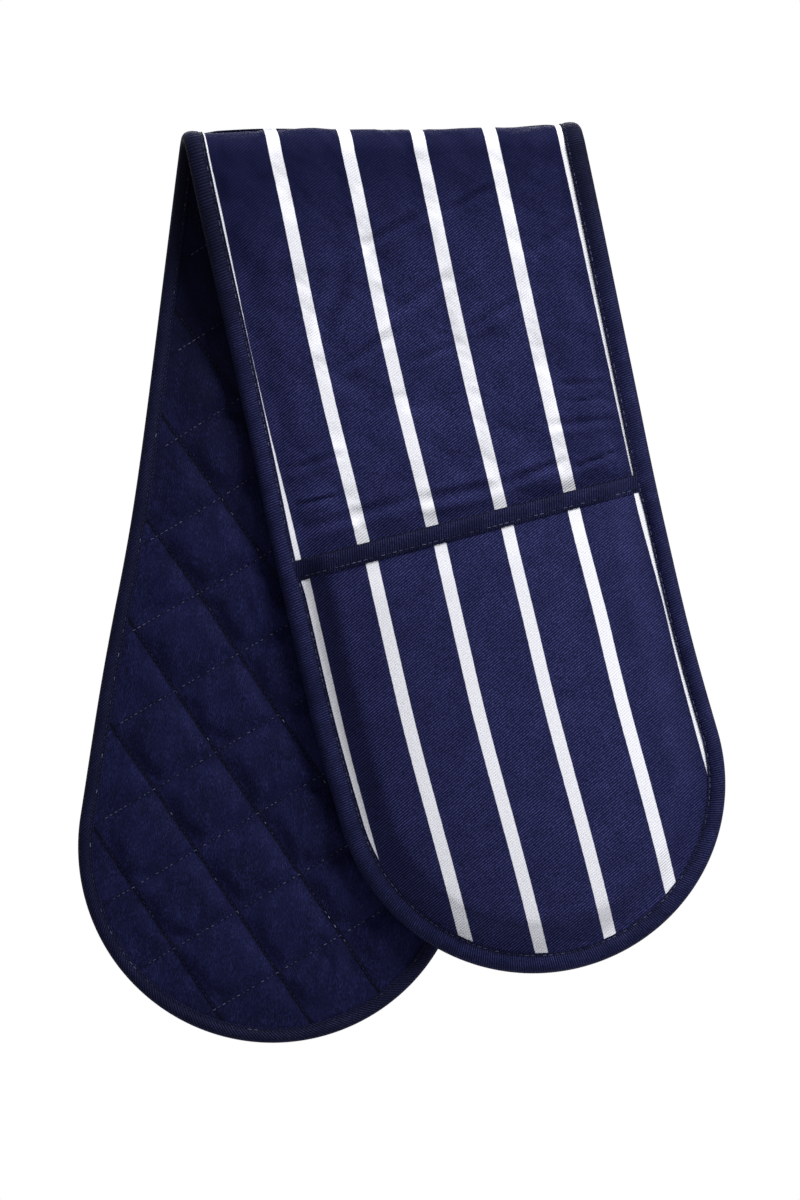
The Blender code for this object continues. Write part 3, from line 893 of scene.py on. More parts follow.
def quilt_matrix(leg):
    """Takes distances from the two sets of stitch lines to the flat pattern. They are counted
    from a crossing near the leg's middle."""
    left, right = QUILT_LEFT_TURN, QUILT_RIGHT_TURN
    whole = math.sin(left + right)
    from_left = Vector((-math.sin(right), -leg.side * math.cos(right), 0.0)) / whole
    from_right = Vector((math.sin(left), -leg.side * math.cos(left), 0.0)) / whole
    crossing = Vector((QUILT_CROSS_ACROSS, -leg.side * QUILT_CROSS_ALONG, 0.0))
    hop = (from_left + from_right) * QUILT_PITCH
    crossing += hop * round((leg.end / 2 - crossing.y) / hop.y)
    turned = Matrix((from_left, from_right, Vector((0.0, 0.0, 1.0)))).transposed()
    return Matrix.Translation(crossing) @ turned.to_4x4()


print("quilting lines:", QUILT_PITCH * 1000, "mm apart")

# %% Trim a sheet to the leg
END_CUTS = 36
TRIM_SPARE = 0.004
FOLD_SPARE = 0.03


def trim(mesh, point, outward):
    """Cuts off what lies beyond a line of the flat pattern."""
    parts = [*mesh.verts, *mesh.edges, *mesh.faces]
    bmesh.ops.bisect_plane(
        mesh, geom=parts, dist=SAME_PLACE, plane_co=point, plane_no=outward, clear_outer=True
    )


def trim_to_leg(mesh, leg, inset):
    """Cuts a sheet to the leg's outline, as far inside its edge as the inset."""
    half = HALF_WIDTH - inset
    outside = [
        vert for vert in mesh.verts
        if edge_distance(leg, vert.co.x, vert.co.y) < -TRIM_SPARE or vert.co.y < -FOLD_SPARE
    ]
    bmesh.ops.delete(mesh, geom=outside, context="VERTS")
    fold = Vector((leg.run * math.sin(FOLD_SKEW), -math.cos(FOLD_SKEW), 0.0))
    trim(mesh, Vector(), fold)
    for side in (-1, 1):
        trim(mesh, Vector((side * half, 0.0, 0.0)), Vector((side, 0.0, 0.0)))
    for cut in range(END_CUTS):
        angle = math.pi * (cut + 0.5) / END_CUTS
        outward = Vector((math.cos(angle), math.sin(angle), 0.0))
        trim(mesh, Vector((0.0, leg.end, 0.0)) + outward * half, outward)


print("the round end is cut with", END_CUTS, "straight cuts")

# %% Find the stitch lines
ON_LINE = 0.01


def quilt_place(leg, across, along):
    """How many pitches a point is from each set's line through the known crossing."""
    down = -leg.side * along - QUILT_CROSS_ALONG
    aside = across - QUILT_CROSS_ACROSS
    left = down * math.sin(QUILT_LEFT_TURN) - aside * math.cos(QUILT_LEFT_TURN)
    right = down * math.sin(QUILT_RIGHT_TURN) + aside * math.cos(QUILT_RIGHT_TURN)
    return left / QUILT_PITCH, right / QUILT_PITCH


def on_line(place):
    """Whether a count of pitches is on a stitch line."""
    return abs(place - round(place)) < ON_LINE


print("the front's round end starts, in pitches, at", quilt_place(FRONT, 0.0, FRONT.end))


# %% Make both linings' flat sheets
def lining_sheet(leg):
    cells = 2 * math.ceil(quilt_reach(leg) / QUILT_PITCH)
    size = cells * QUILT_PITCH
    mesh = bmesh.new()
    spread = quilt_matrix(leg) @ Matrix.Diagonal((size, size, 1, 1))
    count = cells * QUILT_CELLS
    bmesh.ops.create_grid(mesh, x_segments=count, y_segments=count, size=0.5, matrix=spread)
    trim_to_leg(mesh, leg, HEM_INSET)
    return mesh


# %% Hold the lining at its stitches
HELD_HEM = 0.008
HELD_FOLD = 0.002


def lining_held(mesh, leg):
    """The points that the stitches hold: every second one on a line, and the bound edge."""
    held = []
    for vert in mesh.verts:
        across, along, _ = vert.co
        left, right = quilt_place(leg, across, along)
        hemmed = edge_distance(leg, across, along) < HELD_HEM
        hemmed = hemmed or drop(leg, across, along) < HELD_FOLD
        stitch = round((left + right) * QUILT_CELLS) % 2 == 0
        if hemmed or (stitch and (on_line(left) or on_line(right))):
            held.append(vert)
    return held


def amid_seams(left, right):
    """0 on the stitch lines and 1 in the middle of a diamond."""
    return abs(math.sin(left * math.pi) * math.sin(right * math.pi))


# %% The faces of the lining
LINING_CLOTH = 0.0005
STITCH_SINK = 0.0004
TUCKS = (0.00008, 0.00020)
LEAST_PUFF = 0.25
ROUGH_SIZE = 0.008
ROUGH_DEPTH = 0.0003
SEAM_STEEPNESS = 3


def lining_face(leg, across, along, swell):
    full = LEAST_PUFF + (1 - LEAST_PUFF) * fullness(leg, across, along)
    left, right = quilt_place(leg, across, along)
    between = smooth(amid_seams(left, right) * SEAM_STEEPNESS)
    rough = creased(lining_creases[leg.name], across, along)
    rough += uneven(across, along, ROUGH_SIZE, ROUGH_DEPTH)
    tuck = sum(depth for depth, place in zip(TUCKS, (left, right)) if on_line(place))
    return STITCH_SINK - HALF_STACK + min(tuck, TUCKS[1]) - (swell + rough * between) * full


def lining_back(leg, across, along, swell):
    return lining_face(leg, across, along, swell) + LINING_CLOTH


# %% Puff the lining up between its stitches
LINING_PRESSURE = 6.0
LINING_GROWTH = 0.03
LINING_FRAMES = 24
LINING_CAP = 0.0026


def quilted_lining(leg):
    mesh = lining_sheet(leg)
    held = lining_held(mesh, leg)
    settled(mesh, held, LINING_GROWTH, LINING_PRESSURE, LINING_FRAMES, LINING_CAP)
    name = f"{leg.name}_quilted_lining_cloth"
    return hung_cloth(mesh, leg, lining_back, lining_face, name, lining_cotton)


linings = {leg.name: quilted_lining(leg) for leg in (FRONT, REAR)}


# %% [markdown]
# ## The wadding and the striped outer cloth
# The wadding fills the strip between its two cloths. It is hidden, but it gives the glove its
# thickness. The striped cloth lies over it and clings to it here and there. A grid of even
# faces gives both, since the simulation and the creases want faces of one size.

# %% Wadding slabs
WADDING_LOW = -0.00075
WADDING_GIVE = 0.0005
WADDING_EASE = 0.0002
WADDING_STEP = 0.003


def wadding_low(leg, across, along, swell):
    return WADDING_LOW


def wadding_high(leg, across, along, swell):
    give = WADDING_EASE + WADDING_GIVE * fullness(leg, across, along)
    return panel_top(leg, across, along) - CLOTH - LAYER_GAP - give


def wadding_pad(leg):
    mesh = flat_cloth(leg, HEM_INSET, step=WADDING_STEP)
    name = f"{leg.name}_wadding_pad"
    return hung_cloth(mesh, leg, wadding_low, wadding_high, name, wadding_cotton)


waddings = {leg.name: wadding_pad(leg) for leg in (FRONT, REAR)}

# %% The faces of the striped cloth
PANEL_CLOTH = 0.0006
HEM_FLAT = 0.0095
HEM_FADE = 0.007
MOUTH_FADE = 0.008
PANEL_SINK = 0.0009


def panel_high(leg, across, along, swell):
    """The striped cloth's face. Its creases fade at the bound edge and under the pocket, and
    they never press far into the wadding."""
    free = smooth((edge_distance(leg, across, along) - HEM_FLAT) / HEM_FADE)
    free *= smooth((leg.reach - along) / MOUTH_FADE)
    rough = swell + creased(panel_creases[leg.name], across, along) + rumpled(across, along)
    if rough < 0:
        rough = -PANEL_SINK * (1 - math.exp(rough / PANEL_SINK))
    return panel_top(leg, across, along) + rough * free


def panel_low(leg, across, along, swell):
    return panel_high(leg, across, along, swell) - PANEL_CLOTH


# %% Settle the striped cloth
PANEL_STEP = 0.003
PANEL_GROWTH = 0.006
PANEL_PRESSURE = 0.5
PANEL_FRAMES = 16
PANEL_CAP = 0.0009
CLING_SHARE = 0.03


def clinging(mesh, leg, chance):
    """The bound edge, the fold, and scattered points where the cloth clings to its padding."""
    return [
        vert for vert in mesh.verts
        if edge_distance(leg, vert.co.x, vert.co.y) < HEM_FLAT
        or drop(leg, vert.co.x, vert.co.y) < HELD_FOLD
        or chance.random() < CLING_SHARE
    ]


def outer_panel(leg):
    """The settled sheet is cut finer, so that it can show its creases."""
    mesh = flat_cloth(leg, HEM_INSET, step=PANEL_STEP)
    held = clinging(mesh, leg, random.Random(len(mesh.verts)))
    settled(mesh, held, PANEL_GROWTH, PANEL_PRESSURE, PANEL_FRAMES, PANEL_CAP)
    bmesh.ops.subdivide_edges(mesh, edges=mesh.edges[:], cuts=1, use_grid_fill=True)
    name = f"{leg.name}_striped_panel"
    return hung_cloth(mesh, leg, panel_low, panel_high, name, strip_twill)


panels = {leg.name: outer_panel(leg) for leg in (FRONT, REAR)}


# %% [markdown]
# ## The hand pockets
# Each round end carries a second, smaller panel with its own wadding and lining. It is sewn in
# under the binding round the end and left open at its straight mouth. In the middle it stands
# off the strip to leave room for a hand. It is smooth in the photo, so it is not simulated: its
# layers are heights over the strip, and each is cut on the centre line, where the mouth opens.

# %% Heights of the pocket's layers
BINDING_WIDTH = 0.0093
POCKET_CLEARANCE = 0.0005
POCKET_INSET = BINDING_WIDTH + POCKET_CLEARANCE
POCKET_HALF_WIDTH = HALF_WIDTH - POCKET_INSET
POCKET_LINING = 0.0008
POCKET_WADDING = 0.0008
POCKET_WADDING_LOFT = 0.0015
POCKET_RISE = 0.0070
DOME_POWER = 2.5
POCKET_FILL_SHARE = 0.20
MOUTH_FLAT = 0.010
MOUTH_TAPER = 0.016


def pocket_share(leg, across, along):
    """0 at the pocket's sewn edge and 1 on its centre line."""
    share = (edge_distance(leg, across, along) - POCKET_INSET) / POCKET_HALF_WIDTH
    return min(max(share, 0.0), 1.0)


def pocket_loft(leg, across, along):
    """The free thickness of the pocket's wadding."""
    sides = smooth(pocket_share(leg, across, along) / POCKET_FILL_SHARE)
    mouth = smooth((along - leg.reach - MOUTH_FLAT) / MOUTH_TAPER)
    return POCKET_WADDING + POCKET_WADDING_LOFT * sides * mouth


def free_heights(leg, across, along):
    """The heights of all the faces where the pocket is free, counted out from the strip."""
    dome = POCKET_RISE * (1 - (1 - pocket_share(leg, across, along)) ** DOME_POWER)
    lining = panel_top(leg, across, along) + LAYER_GAP + CLOTH + LAYER_GAP + dome
    wadding = lining + POCKET_LINING + LAYER_GAP
    panel = wadding + LAYER_GAP + pocket_loft(leg, across, along)
    return {
        "lining_low": lining, "lining_high": lining + POCKET_LINING, "wadding_low": wadding,
        "wadding_high": panel - LAYER_GAP, "panel_low": panel, "panel_high": panel + CLOTH,
    }


for face, height in free_heights(FRONT, 0.0, FRONT.end).items():
    print("free height of", face, round(height, 5))

# %% Press the pocket flat under the binding
HEM_PRESS_START = 0.0088
HEM_PRESS_WIDTH = 0.0150
PRESSED = {
    "lining_low": 0.00215, "lining_high": 0.00235, "wadding_low": 0.00240, "wadding_high": 0.00250,
    "panel_low": 0.00255, "panel_high": 0.00310,
}


def pocket_face(face):
    """Gives the height function of a face. Under the binding the layers are pressed flat."""
    def height(leg, across, along, swell=0.0):
        inside = edge_distance(leg, across, along) - HEM_PRESS_START
        free = free_heights(leg, across, along)[face]
        return PRESSED[face] + (free - PRESSED[face]) * smooth(inside / HEM_PRESS_WIDTH)
    return height


pocket_faces = {face: pocket_face(face) for face in PRESSED}
print("heights under the binding:", PRESSED)

# %% Left and right halves
MOUTH_HEM = 0.0024
HALVES = ((-1, "left"), (1, "right"))


def half_of(mesh, side):
    """A copy of one half of a flat sheet, up to its centre line."""
    half = mesh.copy()
    other = [face for face in half.faces if face.calc_center_median().x * side < 0]
    bmesh.ops.delete(half, geom=other, context="FACES")
    return half


PocketLayer = namedtuple("PocketLayer", "piece inset step material slot")

POCKET_LAYERS = {
    "panel": PocketLayer("striped_panel", 0.0075, WEAVE_STEP, pocket_twill, "striped_twill"),
    "wadding": PocketLayer("wadding_pad", 0.0098, 0.006, wadding_cotton, "cotton_wadding"),
    "lining": PocketLayer("lining_cloth", 0.0092, 0.004, pocket_cotton, "pocket_lining"),
}


def pocket_layer(leg, word):
    """One layer of the pocket, as a left and a right half that meet on the centre line."""
    layer = POCKET_LAYERS[word]
    low, high = pocket_faces[f"{word}_low"], pocket_faces[f"{word}_high"]
    whole = flat_cloth(leg, layer.inset, leg.reach + MOUTH_HEM, layer.step)
    made = []
    for side, side_word in HALVES:
        name = f"{leg.name}_pocket_{layer.piece}_{side_word}"
        half = half_of(whole, side)
        made.append(hung_cloth(half, leg, low, high, name, layer.material))
    whole.free()
    return made


pockets = {
    leg.name: {word: pocket_layer(leg, word) for word in POCKET_LAYERS} for leg in (FRONT, REAR)
}


# %% [markdown]
# ## The bias binding
# A folded strip of twill closes every edge. It is round at the outside, flatter where the
# topstitching presses it, and its lips stand on the cloth. A bevelled curve could follow the
# edge with one section. A grid, which runs along the edge one way and round the section the
# other way, can also be thicker and wider beside the pocket.

# %% The binding's section
EDGE_STEP = 0.0022

# Each corner is its distance inside the edge and its share of the half thickness
EDGE_SECTION = (
    (0.0093, 0.21), (0.0093, 0.62), (0.0089, 0.86), (0.0080, 0.80), (0.0068, 0.98), (0.0046, 1.06),
    (0.0026, 1.00), (0.0011, 0.76), (0.0002, 0.38), (0.0, 0.0),
)
INNER_WALL = ((0.0064, -0.66), (0.0012, -0.66), (0.0012, 0.66), (0.0086, 0.66))
LINING_SIDE = 0.75
OUTER_RIB_LEAN = math.radians(10)
LINING_RIB_LEAN = math.radians(50)


def binding_place(inset, share, run, along):
    """The signed inset, the run across the ribs, which lean, and the distance from the fold."""
    lean = OUTER_RIB_LEAN if share > 0 else LINING_RIB_LEAN
    across_ribs = run * math.cos(lean) + inset * math.sin(lean)
    return math.copysign(inset, share), across_ribs, along


print("the binding shows", EDGE_SECTION[0][0] * 1000, "mm of its width")


# %% Stations along the edge
def edge_stations(leg, inset, step):
    """Turns and places round the leg's edge, from the fold down, round the end and up again."""
    straight = leg.end
    count = round(straight / step)
    bend = round(math.pi * (HALF_WIDTH - inset) / step)
    down = [(-math.pi / 2, straight * row / count) for row in range(count)]
    turn = [(math.pi * (row / bend - 0.5), None) for row in range(bend + 1)]
    up = [(math.pi / 2, along) for _, along in reversed(down)]
    return down + turn + up


def edge_point(leg, station, inset):
    """The place on the flat pattern of a station, inside the edge by the inset."""
    turn, along = station
    half = HALF_WIDTH - inset
    across = half * math.sin(turn)
    if along is None:
        return across, leg.end + half * math.cos(turn)
    shear = across * leg.run * math.tan(FOLD_SKEW) * (1 - smooth(along / SHEAR_FADE))
    return across, along + shear


print("stations round the front leg:", len(edge_stations(FRONT, 0.0, EDGE_STEP)))

# %% How far the lips reach
POCKET_LIFT = 0.0011
LIFT_LENGTH = 0.008
LIP_WIDER = 0.03
LIP_LEAN = 0.12
LIP_FADE = 0.02


def lip_inset(leg, station, inset):
    """Beside the pocket the binding's lip reaches further in on the left than on the right."""
    turn, along = station
    beside = 1.0 if along is None else smooth((along - leg.reach) / LIP_FADE)
    return inset * (1 + (LIP_WIDER - LIP_LEAN * math.sin(turn)) * beside)


def lip_height(leg, along, outer):
    """The binding's half thickness on one side. It is more where it also covers the pocket."""
    if not outer:
        return HALF_BINDING
    return HALF_BINDING + POCKET_LIFT * smooth(0.5 + (along - leg.reach) / LIFT_LENGTH)


print("the lip beside the pocket stands", round(1000 * lip_height(FRONT, FRONT.end, True), 2), "mm")


# %% A tape from a grid
def both_sides(outer, narrower=1.0, inner=()):
    """The whole section: out, round the edge to the side of the lining, and back inside."""
    lining_side = [(inset * narrower, -share) for inset, share in reversed(outer[:-1])]
    return [*outer, *lining_side, *inner]


def tape(name, count, section, material, spot):
    """A closed tube of count rows. Spot gives a corner's binding place and its place in space."""
    mesh = bmesh.new()
    whole = Matrix.Translation((0.5, 0.5, 0.0))
    bmesh.ops.create_grid(mesh, x_segments=count, y_segments=len(section), size=0.5, matrix=whole)
    layer = mesh.verts.layers.float_vector.new("binding_place")
    for vert in mesh.verts:
        inset, share = section[round(vert.co.y * len(section)) % len(section)]
        vert[layer], vert.co = spot(vert.co.x, inset, share)
    bmesh.ops.remove_doubles(mesh, verts=mesh.verts, dist=SAME_PLACE)
    bmesh.ops.holes_fill(mesh, edges=mesh.edges, sides=0)
    return as_object(mesh, name, material)


print("corners of the edge's section:", len(both_sides(EDGE_SECTION, LINING_SIDE, INNER_WALL)))


# %% Dress the edge
def edge_binding(leg):
    stations = edge_stations(leg, 0.0, EDGE_STEP)
    count = len(stations) - 1

    def spot(run, inset, share):
        stop = round(run * count)
        inward = lip_inset(leg, stations[stop], inset) if share > 0 else inset
        across, along = edge_point(leg, stations[stop], inward)
        height = share * lip_height(leg, along, share > 0)
        place = binding_place(inset, share, stop * EDGE_STEP, along)
        return place, hang(leg, across, along, height)

    section = both_sides(EDGE_SECTION, LINING_SIDE, INNER_WALL)
    return tape(f"{leg.name}_edge_binding_tape", count, section, edge_twill, spot)


edges = {leg.name: edge_binding(leg) for leg in (FRONT, REAR)}

# %% Dress the mouth
MOUTH_SECTION = (
    (0.0090, 0.30), (0.0090, 0.80), (0.0084, 0.98), (0.0074, 0.90), (0.0060, 1.02), (0.0036, 1.05),
    (0.0016, 0.92), (0.0004, 0.55), (0.0, 0.0),
)
MOUTH_STEP = 0.0022
MOUTH_END = 0.0080
MOUTH_ROOM = 0.0004
MOUTH_ROOM_INSIDE = 0.0009
MOUTH_ROOM_FADE = 0.0075


def mouth_line(leg, across):
    """How far along the leg the mouth is. It runs a little askew."""
    return leg.reach - across * leg.run * math.tan(MOUTH_SKEW)


def mouth_height(leg, across, inset, share):
    """The height of a point of the mouth binding, which clasps all the layers of the pocket."""
    along = mouth_line(leg, across) + max(inset, MOUTH_HEM)
    low = pocket_faces["lining_low"](leg, across, along)
    high = pocket_faces["panel_high"](leg, across, along)
    middle = (low + high) / 2
    inside = smooth((HALF_WIDTH - abs(across) - HEM_PRESS_START) / MOUTH_ROOM_FADE)
    room = (high - low) / 2 + MOUTH_ROOM + (MOUTH_ROOM_INSIDE - MOUTH_ROOM) * inside
    return middle + share * room


def mouth_binding(leg, side, word):
    width = HALF_WIDTH - MOUTH_END

    def spot(run, inset, share):
        across = side * width * run
        height = mouth_height(leg, across, inset, share)
        place = binding_place(inset, share, across, leg.reach)
        return place, hang(leg, across, mouth_line(leg, across) + inset, height)

    name = f"{leg.name}_mouth_binding_tape_{word}"
    return tape(name, round(width / MOUTH_STEP), both_sides(MOUTH_SECTION), mouth_twill, spot)


mouths = {
    leg.name: [mouth_binding(leg, side, word) for side, word in HALVES] for leg in (FRONT, REAR)
}


# %% [markdown]
# ## Stitches
# Each stitch is a short length of thread between two needle holes. A bump in the cloth's
# material would look flat from the side, so the stitches are meshes. A small sphere, drawn out
# to a grain of rice, is enough at that size. Each sits a little differently, and some are
# painted paler, as glints.

# %% One stitch
THREAD = 0.00038
STITCH_JITTER = 0.06
random.seed(7)


def stitch(mesh, layer, start, end, outward, shine):
    """One stitch between two points, half sunk in the cloth. Shine says how many stitches get a
    painted glint, and how bright it is."""
    along = end - start
    length = along.length
    along.normalize()
    aside = outward.cross(along).normalized()
    lift = along.cross(aside)
    jitter = random.uniform(-STITCH_JITTER, STITCH_JITTER)
    along = (along + aside * jitter).normalized()
    aside = lift.cross(along)
    turned = Matrix((along, aside, lift)).transposed().to_4x4()
    middle = (start + end) / 2
    size = Matrix.Diagonal((length / 2, THREAD / 2, THREAD / 2, 1))
    place = Matrix.Translation(middle) @ turned @ size @ Matrix.Rotation(math.pi / 2, 4, "Y")
    made = bmesh.ops.create_uvsphere(mesh, u_segments=6, v_segments=4, radius=1.0, matrix=place)
    many, bright = shine
    # Painted glint: how much paler this stitch is painted
    painted_glint = bright * random.random() ** (1 / many)
    for vert in made["verts"]:
        off = vert.co - middle
        vert[layer] = (off.dot(aside), off.dot(along), painted_glint)


print("the thread is", THREAD * 1000, "mm thick")

# %% Rows of stitches
RUN_LENGTH = 30
STITCH_LIFT = 0.0001


def sewn_length(rows, space_point, shine):
    """A short run of stitches as a mesh."""
    mesh = bmesh.new()
    layer = mesh.verts.layers.float_vector.new("thread_place")
    for first, second in rows:
        start, outward = space_point(*first)
        end, _ = space_point(*second)
        stitch(mesh, layer, start, end, outward, shine)
    data = bpy.data.meshes.new("run")
    mesh.to_mesh(data)
    mesh.free()
    return data


def sew(name, rows, space_point, shine):
    """Sews stitches, each given by its two needle holes on the flat pattern. A bmesh slows down
    as it grows, so the stitches are made in short runs and then put together."""
    mesh = bmesh.new()
    for first in range(0, len(rows), RUN_LENGTH):
        data = sewn_length(rows[first:first + RUN_LENGTH], space_point, shine)
        mesh.from_mesh(data)
        bpy.data.meshes.remove(data)
    return as_object(mesh, name, navy_thread)


def lifted(leg, height_of, above):
    """Gives the point in space over a flat place, and the way out of the cloth there."""
    def space_point(across, along):
        height = height_of(across, along)
        point = hang(leg, across, along, height + above)
        return point, (point - hang(leg, across, along, height)).normalized()
    return space_point


# %% Topstitching of the edge binding
EDGE_STITCH_INSET = 0.0080
BACKSTITCH_INSET = 0.0058
EDGE_STITCH = 0.0028
STITCH_SHARE = 0.80
LIP_SHARE = 0.80

# How many stitches get a painted glint, and how bright it is
TOP_SHINE = (0.70, 0.22)
BACK_SHINE = (0.08, 0.30)
SEAM_SHINE = (0.03, 0.60)
DASH_SHINE = (1.20, 0.24)


def edge_stitches(leg, inset, on_lip):
    """Pairs of needle holes along one of the binding's inner edges."""
    stations = edge_stations(leg, inset, EDGE_STITCH)
    places = [
        edge_point(leg, station, lip_inset(leg, station, inset) if on_lip else inset)
        for station in stations
    ]
    rows = []
    for first, second in zip(places, places[1:]):
        near = [a + (b - a) * (1 - STITCH_SHARE) / 2 for a, b in zip(first, second)]
        far = [b + (a - b) * (1 - STITCH_SHARE) / 2 for a, b in zip(first, second)]
        rows.append((near, far))
    return rows


threads = {}
for leg in (FRONT, REAR):
    outer = lifted(leg, lambda across, along: LIP_SHARE * lip_height(leg, along, True), STITCH_LIFT)
    inner = lifted(leg, lambda across, along: -LIP_SHARE * HALF_BINDING, -STITCH_LIFT)
    threads[leg.name] = [
        sew(f"{leg.name}_edge_{word}", edge_stitches(leg, inset, on_lip), surface, shine)
        for word, inset, on_lip, surface, shine in (
            ("topstitch", EDGE_STITCH_INSET, True, outer, TOP_SHINE),
            ("backstitch", BACKSTITCH_INSET, False, inner, BACK_SHINE),
        )
    ]

# %% Quilting stitches
QUILT_STITCH = 0.0026
QUILT_STITCH_SHARE = 0.70
QUILT_STITCH_LIFT = 0.00015
BINDING_SPARE = 0.0005


def quilt_stitches(leg, axis):
    """Pairs of needle holes along one set of stitch lines, inside the binding."""
    matrix = quilt_matrix(leg)
    reach = math.ceil(quilt_reach(leg) / QUILT_PITCH)
    per_line = round(2 * reach * QUILT_PITCH / QUILT_STITCH)
    rows = []
    for line in range(-reach, reach + 1):
        for count in range(per_line):
            run = -reach * QUILT_PITCH + count * QUILT_STITCH
            ends = []
            for at in (run, run + QUILT_STITCH * QUILT_STITCH_SHARE):
                place = Vector((0.0, 0.0, 0.0))
                place[axis] = line * QUILT_PITCH
                place[1 - axis] = at
                ends.append((matrix @ place).to_2d())
            inside = all(
                edge_distance(leg, *end) > BINDING_WIDTH + BINDING_SPARE
                and drop(leg, *end) > HELD_FOLD
                for end in ends
            )
            if inside:
                rows.append(ends)
    return rows


for leg in (FRONT, REAR):
    valley = lifted(leg, lambda across, along: STITCH_SINK - HALF_STACK, -QUILT_STITCH_LIFT)
    for axis, word, shine in ((0, "left", DASH_SHINE), (1, "right", SEAM_SHINE)):
        name = f"{leg.name}_quilting_stitches_{word}"
        rows = quilt_stitches(leg, axis)
        threads[leg.name].append(sew(name, rows, valley, shine))

# %% Topstitching of the mouths
MOUTH_STITCH_INSET = 0.0074
MOUTH_STITCH_SHARE = 0.90
FIRST_HOLE = 0.1


def mouth_stitches(leg, side):
    rows = []
    count = int((HALF_WIDTH - BINDING_WIDTH) / EDGE_STITCH)
    for stitch_number in range(count):
        start = (stitch_number + FIRST_HOLE) * EDGE_STITCH
        end = start + EDGE_STITCH * STITCH_SHARE
        ends = [side * at for at in (start, end)]
        rows.append([(across, mouth_line(leg, across) + MOUTH_STITCH_INSET) for across in ends])
    return rows


mouth_threads = {}
for leg in (FRONT, REAR):
    surface = lifted(
        leg,
        lambda across, along: mouth_height(leg, across, MOUTH_STITCH_INSET, MOUTH_STITCH_SHARE),
        STITCH_LIFT,
    )
    mouth_threads[leg.name] = [
        sew(f"{leg.name}_mouth_topstitch_{word}", mouth_stitches(leg, side), surface, TOP_SHINE)
        for side, word in HALVES
    ]


# %% [markdown]
# ## Baking the pieces' places
# Each piece's transform is baked into its mesh, so that its points stay where hang put them.

for leg in (FRONT, REAR):
    layers = [made[leg.name] for made in (linings, waddings, panels, edges)]
    for piece in (*layers, *threads[leg.name]):
        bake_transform(piece)

# %% Bake the pockets' halves, mouth bindings and mouth stitches
POCKET_BLEND_INSET = 0.0125

for leg in (FRONT, REAR):
    centre = hang(leg, 0.0, leg.end, 0.0)
    for number, side in enumerate((-1, 1)):
        edge = hang(leg, side * (HALF_WIDTH - POCKET_BLEND_INSET), leg.end, 0.0)
        halves = [layer[number] for layer in pockets[leg.name].values()]
        for piece in (*halves, mouths[leg.name][number], mouth_threads[leg.name][number]):
            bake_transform(piece)
    print(leg.name, "pocket bends over", round((centre - edge).length, 4), "m")

# %% Hide the CAD solids that the cloth replaces
for leg in (FRONT, REAR):
    name = leg.name
    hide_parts(f"{name}_quilted_lining", "saddle_lining")
    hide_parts(f"{name}_wadding", "saddle_wadding")
    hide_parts(f"{name}_outer_panel", "saddle_outer_panel")
    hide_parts(f"{name}_edge_binding", "saddle_binding_left", "saddle_binding_right")
    for number in (0, 1):
        for word, halves in pockets[name].items():
            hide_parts(f"{name}_pocket_{word}")
        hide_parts(f"{name}_mouth_binding")
    print(name, "leg: its cloth stands for the CAD solids")


# %% [markdown]
# ## A loop over the legs
# Whoever reuses the glove may want to drape it anew, and that starts from the flat cloth. The
# loop below only takes each leg's name.


for leg in (FRONT, REAR):
    name = leg.name


# %% [markdown]
# ## Floor and light
# A plain pale floor below the glove keeps its shadow, and the world is white to the camera. The
# light is a big soft lamp from the upper right, which leaves a dark gap between the legs, and
# another one behind the glove.

# %% The white that only the camera, gloss and glass see
def seen_directly(tree):
    """1 for camera, glossy and transmission rays, which see the white background."""
    rays = tree.nodes.new("ShaderNodeLightPath")
    share = rays.outputs["Is Camera Ray"]
    for name in ("Is Glossy Ray", "Is Transmission Ray"):
        larger = tree.nodes.new("ShaderNodeMath")
        larger.operation = "MAXIMUM"
        tree.links.new(share, larger.inputs[0])
        tree.links.new(rays.outputs[name], larger.inputs[1])
        share = larger.outputs[0]
    return share


# %% The floor
FLOOR_DROP = 0.20
FLOOR_LEVEL = CAD_LOW.z - FLOOR_DROP
FLOOR_SIZE = 12.0
FLOOR_COLOUR = (0.62, 0.62, 0.63, 1.0)
FLOOR_ROUGHNESS = 0.9
WHITE_LIGHT = (1.0, 1.0, 1.0, 1.0)
SHADOW_REACH = (0.35, 1.1)

floor_mesh = bmesh.new()
bmesh.ops.create_grid(
    floor_mesh, x_segments=2, y_segments=2, size=FLOOR_SIZE / 2,
    matrix=Matrix.Translation((0.0, 0.0, FLOOR_LEVEL)),
)
floor_data = bpy.data.meshes.new("floor")
floor_mesh.to_mesh(floor_data)
floor_mesh.free()
floor = bpy.data.objects.new("floor", floor_data)
bpy.context.scene.collection.objects.link(floor)
print("floor at z", round(FLOOR_LEVEL, 4))


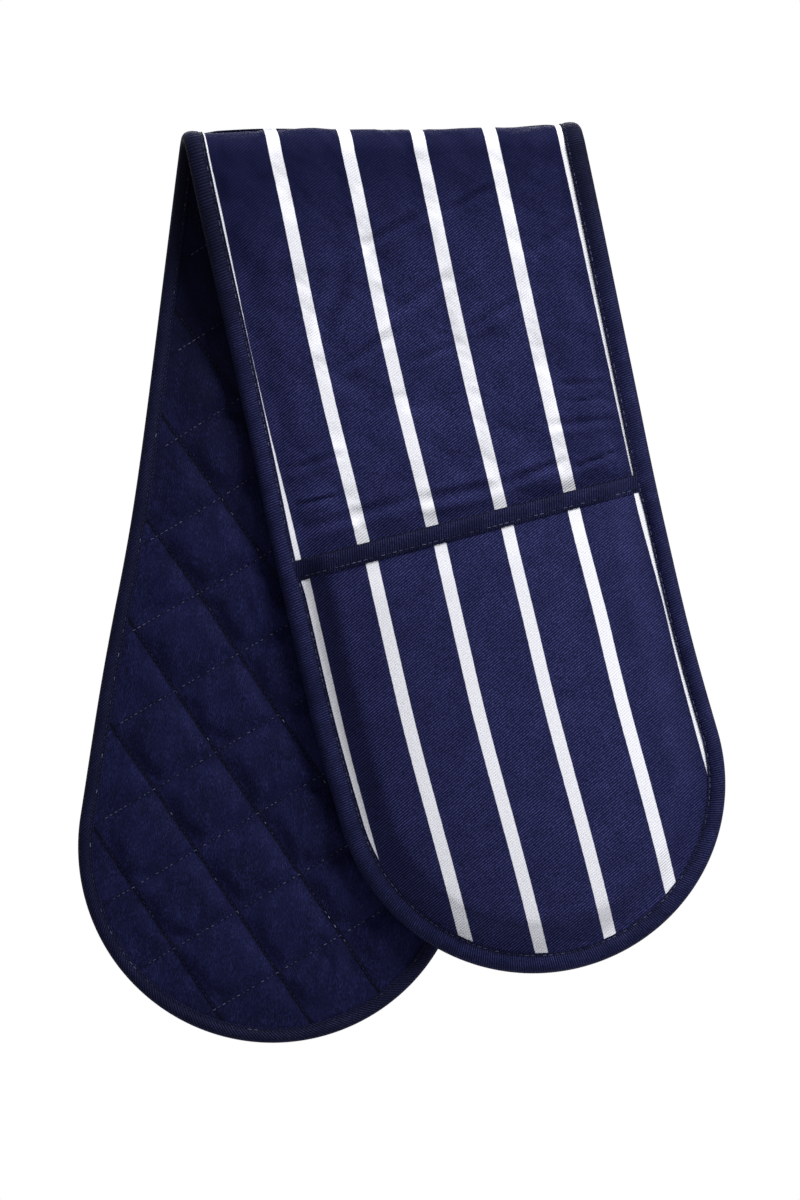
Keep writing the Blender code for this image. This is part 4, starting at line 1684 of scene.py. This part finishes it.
def pale_floor(name):
    """Near the glove the floor is lit and takes its shadow. Further out it is plain white."""
    recipe = Recipe(name)
    tree = recipe.tree
    recipe.shader.inputs["Base Color"].default_value = FLOOR_COLOUR
    recipe.shader.inputs["Roughness"].default_value = FLOOR_ROUGHNESS
    x, y, _ = recipe.parts(recipe.add("ShaderNodeTexCoord").outputs["Object"])
    squares = [recipe.math("POWER", value, 2.0) for value in (x, y)]
    plain = recipe.ramp(recipe.math("SQRT", recipe.math("ADD", *squares)), *SHADOW_REACH)
    glow = recipe.add("ShaderNodeEmission")
    glow.inputs["Color"].default_value = WHITE_LIGHT
    chosen = recipe.add("ShaderNodeMixShader")
    recipe.feed(chosen.inputs["Fac"], recipe.math("MULTIPLY", plain, seen_directly(tree)))
    recipe.feed(chosen.inputs[1], recipe.shader.outputs[0])
    recipe.feed(chosen.inputs[2], glow.outputs[0])
    recipe.feed(tree.nodes["Material Output"].inputs["Surface"], chosen.outputs[0])
    return recipe.material


floor_data.materials.append(pale_floor("pale_floor"))

# %% The world
SKY_COLOUR = (0.80, 0.84, 0.92, 1.0)
SKY_STRENGTH = 0.045

world = bpy.data.worlds.new("studio")
bpy.context.scene.world = world
world.use_nodes = True
tree = world.node_tree
background = tree.nodes["Background"]
background.inputs["Color"].default_value = SKY_COLOUR
background.inputs["Strength"].default_value = SKY_STRENGTH
white = tree.nodes.new("ShaderNodeBackground")
white.inputs["Color"].default_value = WHITE_LIGHT
white.inputs["Strength"].default_value = 1.0
chosen = tree.nodes.new("ShaderNodeMixShader")
tree.links.new(seen_directly(tree), chosen.inputs["Fac"])
tree.links.new(background.outputs[0], chosen.inputs[1])
tree.links.new(white.outputs[0], chosen.inputs[2])
tree.links.new(chosen.outputs[0], tree.nodes["World Output"].inputs["Surface"])
print("the world lights the glove with strength", SKY_STRENGTH)


# %% The lamps
def soft_lamp(name, azimuth, elevation, distance, size, power):
    """A square area lamp that looks at the glove's middle from a direction given in degrees."""
    azimuth, elevation = math.radians(azimuth), math.radians(elevation)
    data = bpy.data.lights.new(name, "AREA")
    data.size = size
    data.energy = power
    lamp = bpy.data.objects.new(name, data)
    way = Vector((
        math.sin(azimuth) * math.cos(elevation),
        -math.cos(azimuth) * math.cos(elevation),
        math.sin(elevation),
    ))
    lamp.location = VIEW_CENTRE + way * distance
    lamp.rotation_euler = way.to_track_quat("Z", "Y").to_euler()
    bpy.context.scene.collection.objects.link(lamp)
    print(name, "stands at", lamp.location[:])


soft_lamp("key_lamp", azimuth=48, elevation=48, distance=2.0, size=0.7, power=76)
soft_lamp("back_lamp", azimuth=180, elevation=35, distance=2.4, size=1.2, power=32)

# %% [markdown]
# ## Last lines
# The colours are shown as written, with no filmic look.

# %% Finish
bpy.context.scene.view_settings.view_transform = "Standard"
